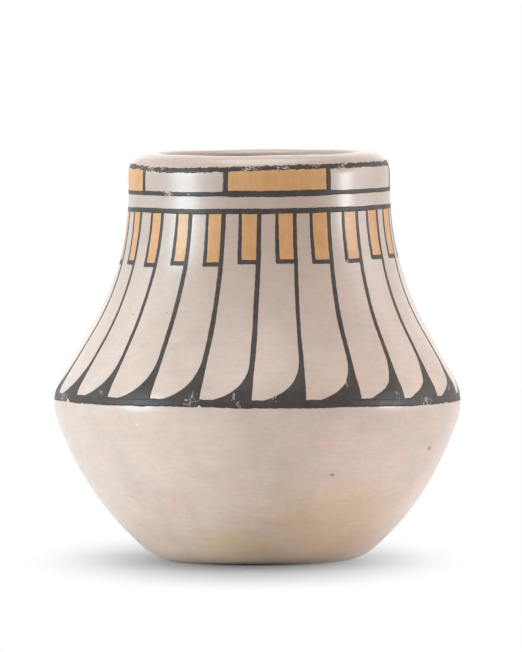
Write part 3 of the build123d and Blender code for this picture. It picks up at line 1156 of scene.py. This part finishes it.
class JAR_OT_rim_coil(Operator):
    """Turn the last coil inwards and round its lip"""

    bl_idname = "jar.rim_coil"
    bl_label = "Rim coil"

    def execute(self, context):
        wall = Wall(context.scene.jar_form)
        form = wall.form
        angle = ring_angles(COLUMNS)
        seam_number = len(WALL_COILS)
        seam = seam_line(wall, seam_number, angle)
        outside = outer_face(wall, seam, np.full(COLUMNS, wall.end), RIM_STEPS)
        lap = [face[::-1] for face in seam_face(wall, seam_number, angle)]
        lap_end = np.array([np.mean(lap[0][0]), np.mean(lap[1][0])])
        clay_mouth = form.mouth_diameter / 2 + form.slip_thickness
        underside = form.jar_height - form.slip_thickness - form.wall_thickness
        inner_wall = form.collar_diameter / 2 - form.slip_thickness - form.wall_thickness
        corners = [
            np.array([clay_mouth, form.jar_height - form.slip_inside_lip]),
            np.array([clay_mouth, underside]),
            np.array([inner_wall, underside]),
            lap_end,
        ]
        line, along = spaced(rounded(corners, [form.lip_underside_round, form.rim_inside_round]), RIM_STEP)
        fade = np.clip(along / RIM_CALM, 0, 1)[:, None]
        marks = -finger_marks(wall, angle, along[:, None]) * fade
        seam_fade = np.clip(1 - (along[-1] - along) / RIM_CALM, 0, 1)[:, None]
        radius = line[:, :1] + marks * (1 - seam_fade) + seam_fade * (lap[0][0] - lap_end[0])
        height = line[:, 1:] + seam_fade * (lap[1][0] - lap_end[1])
        section = stacked(outside, (radius[1:-1], height[1:-1]), lap)
        count = len(section[0])
        clay_piece(context, wall, "rim_coil", section, shown_rows(count, RIM_STEPS - 1, count - SEAM_STEPS))
        return {"FINISHED"}


# Slip

LIP_WAVE = Wave(51, (3, 17))
SLIP_STEP = 1.8 * MM
SLIP_TURN = 0.08
LIP_WANDER = 0.5 * MM
LIP_FADE = 4 * MM
LIP_FEATHER = 0.4 * MM
LIP_THIN = 0.2
BACK_STRIDE = 6


class JAR_OT_slip_coat(Operator):
    """Coat the outside with slip, from the edge of the foot over the rim to the inside of the lip"""

    bl_idname = "jar.slip_coat"
    bl_label = "Slip coat"

    def execute(self, context):
        wall = Wall(context.scene.jar_form)
        angle = ring_angles(COLUMNS)
        outside = wall.length >= wall.foot
        slant = np.unwrap(np.arctan2(wall.out_height, wall.out_radius))
        turned = np.abs(np.gradient(slant[outside]))
        pace = np.cumsum(OUTLINE_STEP / SLIP_STEP + turned / SLIP_TURN)
        count = math.ceil(pace[-1] - pace[0])
        length = np.interp(np.linspace(pace[0], pace[-1], count), pace, wall.length[outside])[:, None]
        lip_wander = LIP_WANDER * hand_wave(LIP_WAVE, angle)
        near_lip = np.clip((length - (wall.end - LIP_FADE)) / LIP_FADE, 0, 1)
        face_length = length + near_lip * (lip_wander - LIP_WANDER)
        face = wall.place(angle, face_length, 0.0)
        thin = wall.form.slip_thickness * np.where(length > wall.end - LIP_FEATHER, LIP_THIN, 1.0)
        back = wall.place(angle, face_length, -thin)[::-BACK_STRIDE]
        rows = np.concatenate([face, back])
        mesh = ring_mesh("polished_slip", rows, shown_rows(len(rows), 0, len(face) - 1))
        finish = shared_finish(context, polished_slip_finish)
        make_piece("polished_slip", mesh, finish, "slip_coat")
        return {"FINISHED"}


# Paint

ACROSS = np.array([0, 0.05, 0.3, 0.7, 0.95, 1])
LAYER_STEP = 0.012 * MM
PAINTS = {"black_paint": ("brushed", black_paint_finish), "ochre_paint": ("washed", ochre_paint_finish)}


def painted_piece(context, brush, node, slot):
    """All the strokes of a brush as the piece that stands for a CAD node."""
    laid, finish = PAINTS[slot]
    name = f"{laid}_{node}"
    make_piece(name, brush.mesh(name), shared_finish(context, finish), node)


def uneven_width(seed, place, step, amount):
    """How much a brush line swells and thins along its length."""
    return 1 + amount * ragged_line(seed, place, step)


def neck_tilt(paint, angle):
    """How far a line round the neck stands above its own height."""
    return paint.neck_tilt * np.sin(angle)


def band_tilt(paint, angle):
    """How far the shoulder band stands above its own height."""
    return -paint.band_tilt * np.sin(angle)


def at_front(angle):
    """One at the front of the jar, falling to nothing a quarter turn away."""
    return np.clip(np.cos(angle), 0, 1)


def spread_round(front, count):
    """The angles of marks round the jar: those at the front, and the rest spread evenly."""
    rest = np.linspace(front[-1], front[0] + 2 * math.pi, count - len(front) + 2)[1:-1]
    return np.concatenate([front, rest])


# Where the uprights beside the front panel and left of it stand, in panels from its middle
FRONT_UPRIGHTS = np.array([-1.5, -0.5, 0.5])


def divider_angles(paint):
    """Where the uprights between the panels stand: four at the front and the rest spread evenly."""
    front = paint.panel_turn + paint.front_panel * FRONT_UPRIGHTS
    front = np.append(front, front[-1] + paint.right_panel)
    return spread_round(front, paint.panel_count)


RoundLine = namedtuple("RoundLine", "height width tilt wear rough chips", defaults=(0.0,))

LINE_COLUMNS = 1440
LINE_WIDTH_WAVE = Wave(100, (4, 30))
LINE_DRIFT_WAVE = Wave(101, (2, 14))
LOWER_SEED = 102
UPPER_SEED = 103
CHIP_SEED = 104
SEEDS_A_LINE = 10
LINE_UNEVEN = 0.05
ROUGH_STRIDE = 4
CHIP_STRIDE = 5
CHIP_RARITY = 0.35


def paint_round(brush, order, line):
    """Paints a line all the way round, with wandering and rough edges."""
    angle = ring_angles(LINE_COLUMNS)
    own = SEEDS_A_LINE * order
    half = line.width / 2 * (1 + LINE_UNEVEN * hand_wave(LINE_WIDTH_WAVE, angle, order=own))
    drift = line.height + line.tilt + brush.paint.wobble * hand_wave(LINE_DRIFT_WAVE, angle, order=own)
    lower = drift - half + line.rough * ragged_ring(LOWER_SEED + own, angle, LINE_COLUMNS // ROUGH_STRIDE)
    upper = drift + half + line.rough * ragged_ring(UPPER_SEED + own, angle, LINE_COLUMNS // ROUGH_STRIDE)
    bites = np.clip(ragged_ring(CHIP_SEED + own, angle, LINE_COLUMNS // CHIP_STRIDE) - CHIP_RARITY, 0, 1)
    lower = lower + line.chips * bites / (1 - CHIP_RARITY)
    heights = lower + (upper - lower) * ACROSS[:, None]
    brush.stroke(np.broadcast_to(angle, heights.shape), heights, line.wear, round_jar=True)


# Each arc has its bearing and half width in degrees
RIM_SAG_ARC = (-36, 34)
RUBBED_RIM_ARCS = ((-58, 16), (-2, 8), (9, 5), (40.5, 5), (120, 9), (190, 6), (247, 8))
RUBBED_PANEL_ARCS = {(-44, 5.5): 0.8, (-32, 1.8): 0.7}
CHIPPED_ARCS = ((-72, 9), (-19, 3.5), (-5, 2), (57, 5), (104, 4), (140, 7), (205, 5), (248, 3))
RIM_SWELL = 0.5
PANEL_SWELL_SOFT = 8
RIM_WEAR = 0.36
RIM_WEAR_CHANGE = 0.24
RIM_WEAR_SEED = 60
RIM_WEAR_STEPS = 90
RIM_ARC_WEAR = 0.5
PANEL_LINE_WEAR = 0.12
COLLAR_WEAR = 0.08
BAND_WEAR = 0.15
BAND_CHIPPED_WEAR = 0.6
BAND_FEWEST_CHIPS = 0.2


def round_lines(paint):
    """The three lines round the neck and the shoulder band, each with its width, tilt and wear."""
    angle = ring_angles(LINE_COLUMNS)
    tilt = neck_tilt(paint, angle)
    swell = paint.line_swell * at_front(angle)
    front_panel = np.degrees(divider_angles(paint)[1:3])
    panel_swell = paint.panel_swell * within(angle, *front_panel, PANEL_SWELL_SOFT)
    rubbed_rim = RIM_WEAR + RIM_WEAR_CHANGE * ragged_ring(RIM_WEAR_SEED, angle, RIM_WEAR_STEPS)
    rubbed_rim += RIM_ARC_WEAR * sum(worn_arc(angle, *arc) for arc in RUBBED_RIM_ARCS)
    rubbed_panel = PANEL_LINE_WEAR
    for arc, most in RUBBED_PANEL_ARCS.items():
        rubbed_panel = rubbed_panel + most * worn_arc(angle, *arc)
    chipped = sum(worn_arc(angle, *arc) for arc in CHIPPED_ARCS)
    return {
        "rim_line": RoundLine(
            height=paint.rim_line_height,
            width=paint.line_width + RIM_SWELL * swell,
            tilt=tilt - paint.rim_sag * worn_arc(angle, *RIM_SAG_ARC),
            wear=rubbed_rim,
            rough=paint.torn,
        ),
        "panel_line": RoundLine(
            height=paint.panel_line_height,
            width=paint.line_width + panel_swell,
            tilt=tilt,
            wear=rubbed_panel,
            rough=paint.ragged,
        ),
        "collar_line": RoundLine(
            height=paint.collar_line_height,
            width=paint.line_width + swell,
            tilt=tilt,
            wear=COLLAR_WEAR,
            rough=paint.ragged,
        ),
        "shoulder_band": RoundLine(
            height=paint.band_height,
            width=paint.band_width,
            tilt=band_tilt(paint, angle),
            wear=BAND_WEAR + BAND_CHIPPED_WEAR * chipped,
            rough=paint.ragged,
            chips=paint.chips * (BAND_FEWEST_CHIPS + chipped),
        ),
    }


class JAR_OT_round_lines(Operator):
    """Paint the three lines round the neck and the band at the shoulder"""

    bl_idname = "jar.round_lines"
    bl_label = "Lines and shoulder band"

    def execute(self, context):
        paint = context.scene.jar_paint
        wall = Wall(context.scene.jar_form)
        for order, (node, line) in enumerate(round_lines(paint).items()):
            brush = Brush(wall, paint, paint.line_lift)
            paint_round(brush, order, line)
            painted_piece(context, brush, node, "black_paint")
        return {"FINISHED"}


DIVIDER_STEPS = 26
DIVIDER_WIDTH_SEED = 200
DIVIDER_SWAY_SEED = 220
DIVIDER_WIDTH_STEP = 2.2 * MM
DIVIDER_SWAY_STEP = 3 * MM
DIVIDER_UNEVEN = 0.14
DIVIDER_WEAR = 0.25
PANEL_STEPS = 14
PANEL_COLUMNS = 64
PANEL_WEAR = 0.12


def panel_heights(paint, angle, steps):
    """Heights from the panel line up to the rim line at an angle."""
    bottom = paint.panel_line_height + neck_tilt(paint, angle)
    top = paint.rim_line_height + neck_tilt(paint, angle)
    return bottom + (top - bottom) * np.linspace(0, 1, steps)[:, None]


class JAR_OT_panel_dividers(Operator):
    """Paint the short uprights between the panels of the rim band"""

    bl_idname = "jar.panel_dividers"
    bl_label = "Panel dividers"

    def execute(self, context):
        paint = context.scene.jar_paint
        wall = Wall(context.scene.jar_form)
        brush = Brush(wall, paint, paint.line_lift - LAYER_STEP)
        for number_of, angle in enumerate(divider_angles(paint)):
            height = panel_heights(paint, angle, DIVIDER_STEPS)
            place = (height - height[0]).ravel()
            uneven = uneven_width(DIVIDER_WIDTH_SEED + number_of, place, DIVIDER_WIDTH_STEP, DIVIDER_UNEVEN)
            across = paint.divider_width * (ACROSS - 0.5) * uneven[:, None]
            sway = paint.wobble * ragged_line(DIVIDER_SWAY_SEED + number_of, place, DIVIDER_SWAY_STEP)
            shift = across + sway[:, None]
            brush.stroke(angle + shift / wall.radius_at(height), height, DIVIDER_WEAR)
        painted_piece(context, brush, "panel_dividers", "black_paint")
        return {"FINISHED"}


class JAR_OT_ochre_panels(Operator):
    """Wash every other panel of the rim band with ochre"""

    bl_idname = "jar.ochre_panels"
    bl_label = "Ochre panels"

    def execute(self, context):
        paint = context.scene.jar_paint
        wall = Wall(context.scene.jar_form)
        brush = Brush(wall, paint, paint.wash_lift)
        angles = np.sort(np.mod(divider_angles(paint), 2 * math.pi))
        front_left = np.mod(paint.panel_turn - paint.front_panel / 2, 2 * math.pi)
        angles = np.roll(angles, -np.argmin(np.abs(angles - front_left)))
        for left, right in zip(angles[::2], angles[1::2]):
            right += 2 * math.pi * (right < left)
            angle = np.linspace(left, right, PANEL_COLUMNS)
            height = panel_heights(paint, angle, PANEL_STEPS)
            brush.stroke(np.broadcast_to(angle, height.shape), height, PANEL_WEAR)
        painted_piece(context, brush, "ochre_panels", "ochre_paint")
        return {"FINISHED"}


Feather = namedtuple(
    "Feather",
    "number top lean swing shaft_width tip_width tip_low tip_corner collar"
    " crescent_width crescent_height curve kink",
)

# How far single feathers may differ: angles in degrees, lengths in millimetres, and the rest as shares
FEATHER_SEED = 301
ANY_TURN = (-0.3, 0.3)
ANY_TIP_LENGTH = (-0.5, 0.5)
ANY_TIP_WIDTH = (-0.3, 0.3)
ANY_SHAFT_WIDTH = (0.9, 1.15)
ANY_CRESCENT_SHRINK = (0.9, 1.1)
ANY_CRESCENT_HEIGHT = (0.94, 1.06)

LEAN_CURVE = 1.15
LEFT_LEAN = 2.4
SWING_START = 0.5
SWING_POWER = 1.5
TIP_CORNER_CHANGE = 0.5
CURVE_CHANGE = 0.75
KINK_DEPTH = 0.42
KINK_SOFT = 4.5 * MM


def feathers(paint):
    """Every feather with its own small differences, from the left of the front round the jar."""
    draw = np.random.default_rng(FEATHER_SEED)
    half = paint.front_feathers // 2
    front = paint.feather_pitch * np.arange(-half, half + 1)
    listed = []
    for number_of, angle in enumerate(spread_round(front, paint.feather_count)):
        side = math.sin(angle)
        right = max(side, 0)
        collar = paint.collar_line_height + neck_tilt(paint, angle)
        lean_change = paint.lean_change * side * (LEFT_LEAN if side < 0 else 1)
        tip_length = paint.tip_length - paint.tip_shortening * side + draw.uniform(*ANY_TIP_LENGTH) * MM
        listed.append(
            Feather(
                number=number_of,
                top=angle + math.radians(draw.uniform(*ANY_TURN)),
                lean=paint.feather_lean + lean_change + math.radians(draw.uniform(*ANY_TURN)),
                swing=paint.foot_swing * right**SWING_POWER,
                shaft_width=paint.shaft_width * draw.uniform(*ANY_SHAFT_WIDTH),
                tip_width=paint.tip_width + paint.tip_widening * side + draw.uniform(*ANY_TIP_WIDTH) * MM,
                tip_low=collar - tip_length,
                tip_corner=paint.tip_corner * (1 + TIP_CORNER_CHANGE * side),
                collar=collar,
                crescent_width=(
                    paint.crescent_width - paint.crescent_shrink * right * draw.uniform(*ANY_CRESCENT_SHRINK)
                ),
                crescent_height=paint.crescent_height * draw.uniform(*ANY_CRESCENT_HEIGHT),
                curve=paint.crescent_power - CURVE_CHANGE * right,
                kink=KINK_DEPTH * right,
            )
        )
    return listed


def part_down(paint, feather, height):
    """How far down a feather a height is, from 0 at the collar line to 1 at the shoulder band."""
    return np.clip((feather.collar - height) / (feather.collar - paint.band_height), 0, None)


def shaft_angle(paint, feather, height):
    """The angle of a feather's shaft at a height: it leans left on its way down and may swing out below."""
    down = part_down(paint, feather, height)
    swing = feather.swing * np.clip((down - SWING_START) / (1 - SWING_START), 0, None) ** 2
    return feather.top - feather.lean * down**LEAN_CURVE + swing


CRESCENT_STEPS = 40
SHAFT_STEPS = 60
SHAFT_ACROSS = np.array([0, 0.04, 0.12, 0.2, 0.3, 0.4, 0.5, 0.6, 0.7, 0.8, 0.88, 0.96, 1])
SHAFT_SEED = 400
SEEDS_A_FEATHER = 5
SHAFT_WIDTH_STEP = 6 * MM
SHAFT_ROUGH_STEP = 0.9 * MM
SHAFT_SWAY_STEP = 12 * MM
SHAFT_UNEVEN = 0.08
SHAFT_SPREAD = 0.25
SHAFT_WEAR = 0.08
FOOT_IN_BAND = 0.26
FOOT_LAP = 0.3


class JAR_OT_feather_shafts(Operator):
    """Paint the long line of each feather, which swells into a crescent at the shoulder"""

    bl_idname = "jar.feather_shafts"
    bl_label = "Feather shafts"

    def execute(self, context):
        paint = context.scene.jar_paint
        wall = Wall(context.scene.jar_form)
        brush = Brush(wall, paint, paint.line_lift - LAYER_STEP)
        sweep = np.linspace(math.pi / 2, 0, CRESCENT_STEPS)
        for feather in feathers(paint):
            seed = SHAFT_SEED + SEEDS_A_FEATHER * feather.number
            foot = paint.band_height + paint.band_width * FOOT_IN_BAND + band_tilt(paint, feather.top)
            start = foot + feather.crescent_height
            crescent_height = start - feather.crescent_height * np.sin(sweep) ** (2 / feather.curve)
            crescent = feather.crescent_width * (1 - np.cos(sweep) ** (2 / feather.curve))
            above_kink = (crescent_height - foot - paint.crescent_kink) / KINK_SOFT
            crescent *= 1 - feather.kink * np.clip(above_kink + 0.5, 0, 1)
            shaft_height = np.linspace(start, feather.collar, SHAFT_STEPS)[1:]
            height = np.concatenate([[foot - FOOT_LAP * paint.band_width], crescent_height, shaft_height])
            flare = np.concatenate([crescent[:1], crescent, np.zeros(SHAFT_STEPS - 1)])
            place = height - height[0]
            half = feather.shaft_width / 2 * uneven_width(seed, place, SHAFT_WIDTH_STEP, SHAFT_UNEVEN)
            half = half * (1 + SHAFT_SPREAD * part_down(paint, feather, height) ** 2)
            rough_left = paint.ragged * ragged_line(seed + 1, place, SHAFT_ROUGH_STEP)
            rough_right = paint.ragged * ragged_line(seed + 2, place, SHAFT_ROUGH_STEP)
            sway = paint.wobble * ragged_line(seed + 3, place, SHAFT_SWAY_STEP)
            left = sway - half - flare + rough_left
            right = sway + half + rough_right
            across = left[:, None] + (right - left)[:, None] * SHAFT_ACROSS
            height = height[:, None]
            angle = shaft_angle(paint, feather, height) + across / wall.radius_at(height)
            brush.stroke(angle, np.broadcast_to(height, angle.shape), SHAFT_WEAR)
        painted_piece(context, brush, "feather_shafts", "black_paint")
        return {"FINISHED"}


TIP_SIDE_STEPS = 40
TIP_CORNER_STEPS = 9
TIP_FOOT_STEPS = 16
TIP_SEED = 600
TIP_SWAY_STEP = 6 * MM
TIP_ROUGH_STEP = 0.8 * MM
OUTLINE_STRIDE = 0.4 * MM
INNER_CORNER = 0.15 * MM
TIP_TAPER = 0.3
TIP_WEAR = 0.12


def tip_edge(side, top, bar, corner):
    """Points down beside a tip, round its lower corner and along its foot to the shaft."""
    down = np.linspace(top, bar + corner, TIP_SIDE_STEPS)
    sweep = np.linspace(math.pi, 1.5 * math.pi, TIP_CORNER_STEPS)[1:-1]
    foot = np.linspace(side + corner, 0, TIP_FOOT_STEPS)
    across = np.concatenate([0 * down + side, side + corner * (1 + np.cos(sweep)), foot])
    height = np.concatenate([down, bar + corner * (1 + np.sin(sweep)), 0 * foot + bar])
    return np.column_stack([across, height])


class JAR_OT_feather_tip_outlines(Operator):
    """Paint the short line and the bar round each feather's tip"""

    bl_idname = "jar.feather_tip_outlines"
    bl_label = "Feather tip outlines"

    def execute(self, context):
        paint = context.scene.jar_paint
        wall = Wall(context.scene.jar_form)
        brush = Brush(wall, paint, paint.line_lift - 2 * LAYER_STEP)
        half = paint.tip_line_width / 2
        for feather in feathers(paint):
            seed = TIP_SEED + SEEDS_A_FEATHER * feather.number
            bar = feather.tip_low + half
            outer = tip_edge(-feather.tip_width - half, feather.collar, bar - half, feather.tip_corner)
            inner = tip_edge(half - feather.tip_width, feather.collar, bar + half, INNER_CORNER)
            place = np.arange(len(outer)) * OUTLINE_STRIDE
            sway = paint.wobble * ragged_line(seed, place, TIP_SWAY_STEP)
            for edge, side in ((outer, -1), (inner, 1)):
                rough = paint.ragged * ragged_line(seed + 2 + side, place, TIP_ROUGH_STEP)
                thin = TIP_TAPER * paint.tip_line_width * (edge[:, 1] - bar) / (feather.collar - bar)
                edge[:, 0] += sway + rough - side * thin / 2
                edge[:, 1] += sway + rough
            path = outer[:, None] + (inner - outer)[:, None] * ACROSS[:, None]
            height = path[..., 1]
            angle = shaft_angle(paint, feather, height) + path[..., 0] / wall.radius_at(height)
            brush.stroke(angle, height, TIP_WEAR)
        painted_piece(context, brush, "feather_tip_outlines", "black_paint")
        return {"FINISHED"}


TIP_COLUMNS = 10
TIP_ROWS = 24
TIP_WASH_WEAR = 0.1


class JAR_OT_feather_tips(Operator):
    """Wash the tip of each feather with ochre"""

    bl_idname = "jar.feather_tips"
    bl_label = "Feather tips"

    def execute(self, context):
        paint = context.scene.jar_paint
        wall = Wall(context.scene.jar_form)
        brush = Brush(wall, paint, paint.wash_lift)
        across = np.linspace(0, 1, TIP_COLUMNS)
        up = np.linspace(0, 1, TIP_ROWS)[:, None]
        for feather in feathers(paint):
            left = -feather.tip_width
            bottom = feather.tip_low + paint.tip_line_width / 2
            height = bottom + (feather.collar - bottom) * up + 0 * across
            angle = shaft_angle(paint, feather, height) + left * (1 - across) / wall.radius_at(height)
            brush.stroke(angle, height, TIP_WASH_WEAR)
        painted_piece(context, brush, "feather_tips", "ochre_paint")
        return {"FINISHED"}


# Stage

Lamp = namedtuple("Lamp", "name bearing distance height wide tall power tint", defaults=(None,))

# Soft lamps round the jar: bearings in degrees, sizes in metres, and the stage values that set them
LAMPS = (
    Lamp("left_softbox", -70, 1.15, 0.3, 0.42, 0.6, "left_power", "left_tint"),
    Lamp("edge_softbox", -108, 1.15, 0.55, 0.5, 0.5, "edge_power", "left_tint"),
    Lamp("right_softbox", 80, 1.15, 0.215, 0.26, 0.27, "right_power", "right_tint"),
    Lamp("broad_softbox", 100, 1.2, 0.3, 0.8, 0.8, "broad_power", "right_tint"),
    Lamp("sheen_softbox", -8, 0.75, 1.3, 0.45, 0.45, "sheen_power"),
    Lamp("top_softbox", 0, 0.05, 1.5, 1.0, 1.0, "top_power"),
    Lamp("back_softbox", 180, 1.3, 0.6, 1.2, 0.9, "back_power"),
)
LAMP_AIM = (0, 0, 0.09)
PAPER = (0.92, 0.92, 0.92, 1)
SHADE_BLACK = (0, 0, 0, 1)
WHITE = (1, 1, 1, 1)
SHADOW_CORE = 0.06
FLOOR_SIDES = 96
CEILING_START = 0.2
CEILING_FULL = 0.9
SENSOR = 36.0
CLIP_END = 100


def floor_finish(stage):
    """Pale floor that keeps the jar's shadow close by, drawn darker there as painted shade, and is plain
    white further off.
    """
    finish = Finish("pale_floor")
    finish.tree.nodes.remove(finish.shader)
    seen = finish.seen()
    paper = finish.node("ShaderNodeBsdfDiffuse", Color=PAPER)
    dark = finish.node("ShaderNodeBsdfDiffuse", Color=SHADE_BLACK)
    # Painted shade: the floor near the jar is drawn darker to the camera
    near = finish.fade(finish.math("MULTIPLY", seen, stage.floor_painted_shade), paper, dark)
    plain = finish.node("ShaderNodeEmission", Strength=1.0)
    reach = (1 / stage.shadow_across, 1 / stage.shadow_ahead, 1)
    shift = (stage.shadow_left / stage.shadow_across, 0, 0)
    scaled = finish.node("ShaderNodeMapping", Vector=finish.place, Scale=reach, Location=shift)
    far = finish.ramp(finish.length_of(scaled.outputs["Vector"]), SHADOW_CORE, 1.0)
    above = finish.fade(finish.math("MULTIPLY", far, seen), near, plain)
    below = finish.node("ShaderNodeNewGeometry").outputs["Backfacing"]
    surface = finish.fade(below, above, finish.node("ShaderNodeBsdfTransparent"))
    finish.join(finish.tree.nodes["Material Output"].inputs["Surface"], surface.outputs[0])
    return finish.material


def add_facing(scene, name, data, place, target):
    """A lamp or a camera at a place, turned to face a target."""
    holder = bpy.data.objects.new(name, data)
    holder.location = place
    aim = Vector(target) - holder.location
    holder.rotation_euler = aim.to_track_quat("-Z", "Y").to_euler()
    scene.collection.objects.link(holder)
    return holder


class JAR_OT_stage(Operator):
    """Set up the pale floor, the soft lamps and the camera"""

    bl_idname = "jar.stage"
    bl_label = "Stage"

    def execute(self, context):
        scene = context.scene
        stage = scene.jar_stage
        scene.view_settings.view_transform = "Standard"
        self.lay_floor(scene, stage)
        self.place_lamps(scene, stage)
        self.whiten_room(scene, stage)
        self.place_camera(scene, stage)
        return {"FINISHED"}

    def lay_floor(self, scene, stage):
        """A round floor that lies flat."""
        angle = ring_angles(FLOOR_SIDES)
        points = stage.floor_radius * np.column_stack([np.cos(angle), np.sin(angle), 0 * angle])
        mesh = bpy.data.meshes.new("pale_floor")
        mesh.from_pydata(points.tolist(), [], [list(range(FLOOR_SIDES))])
        mesh.materials.append(floor_finish(stage))
        floor = bpy.data.objects.new("pale_floor", mesh)
        scene.collection.objects.link(floor)

    def place_lamps(self, scene, stage):
        """Flat soft lamps, each at a bearing from the front to the right and facing the jar."""
        for lamp in LAMPS:
            light = bpy.data.lights.new(lamp.name, "AREA")
            light.shape = "RECTANGLE"
            light.size = lamp.wide
            light.size_y = lamp.tall
            light.energy = getattr(stage, lamp.power)
            if lamp.tint:
                light.color = getattr(stage, lamp.tint)
            angle = math.radians(lamp.bearing)
            place = (lamp.distance * math.sin(angle), -lamp.distance * math.cos(angle), lamp.height)
            add_facing(scene, lamp.name, light, place, LAMP_AIM)

    def whiten_room(self, scene, stage):
        """A room that is white to look at and lights the jar only from its pale ceiling."""
        world = bpy.data.worlds.new("white_room")
        world.use_nodes = True
        room = Nodes(world.node_tree)
        direction = room.node("ShaderNodeTexCoord").outputs["Generated"]
        rise = room.node("ShaderNodeSeparateXYZ", Vector=direction).outputs["Z"]
        ceiling = room.ramp(rise, CEILING_START, CEILING_FULL, 0.0, stage.fill)
        background = room.tree.nodes["Background"].inputs
        room.join(background["Strength"], room.ramp(room.seen(), 0.0, 1.0, ceiling, 1.0))
        room.join(background["Color"], WHITE)
        scene.world = world

    def place_camera(self, scene, stage):
        """A long lens a little above the shoulder, as in the photograph."""
        camera = bpy.data.cameras.new("camera")
        camera.sensor_width = SENSOR
        camera.lens = SENSOR * stage.camera_distance / stage.picture_height
        camera.clip_end = CLIP_END
        place = (stage.aim_right, -stage.camera_distance, stage.camera_height)
        target = (stage.aim_right, 0, stage.aim_height)
        scene.camera = add_facing(scene, "camera", camera, place, target)


# Add-on

GROUPS = {
    "jar_form": JarForm,
    "jar_paint": JarPaint,
    "jar_colours": JarColours,
    "jar_stage": JarStage,
}

BUILD_ORDER = (
    JAR_OT_base_pan,
    JAR_OT_wall_coils,
    JAR_OT_rim_coil,
    JAR_OT_slip_coat,
    JAR_OT_round_lines,
    JAR_OT_panel_dividers,
    JAR_OT_ochre_panels,
    JAR_OT_feather_shafts,
    JAR_OT_feather_tip_outlines,
    JAR_OT_feather_tips,
    JAR_OT_stage,
)


class JAR_PT_build(Panel):
    """The steps of making the jar, in order"""

    bl_idname = "JAR_PT_build"
    bl_label = "Pueblo Pottery Jar"
    bl_space_type = "VIEW_3D"
    bl_region_type = "UI"
    bl_category = "Jar"

    def draw(self, context):
        for step in BUILD_ORDER:
            self.layout.operator(step.bl_idname)
        for key, group in GROUPS.items():
            box = self.layout.box()
            for value in group.__annotations__:
                box.prop(getattr(context.scene, key), value)


def register():
    for group in GROUPS.values():
        bpy.utils.register_class(group)
    for key, group in GROUPS.items():
        setattr(bpy.types.Scene, key, PointerProperty(type=group))
    for step in BUILD_ORDER:
        bpy.utils.register_class(step)
    bpy.utils.register_class(JAR_PT_build)


def unregister():
    bpy.utils.unregister_class(JAR_PT_build)
    for step in reversed(BUILD_ORDER):
        bpy.utils.unregister_class(step)
    for key in GROUPS:
        delattr(bpy.types.Scene, key)
    for group in reversed(GROUPS.values()):
        bpy.utils.unregister_class(group)


def main():
    """Builds the whole jar and its stage."""
    register()
    bpy.ops.jar.base_pan()
    bpy.ops.jar.wall_coils()
    bpy.ops.jar.rim_coil()
    bpy.ops.jar.slip_coat()
    bpy.ops.jar.round_lines()
    bpy.ops.jar.panel_dividers()
    bpy.ops.jar.ochre_panels()
    bpy.ops.jar.feather_shafts()
    bpy.ops.jar.feather_tip_outlines()
    bpy.ops.jar.feather_tips()
    bpy.ops.jar.stage()


if __name__ == "__main__":
    main()
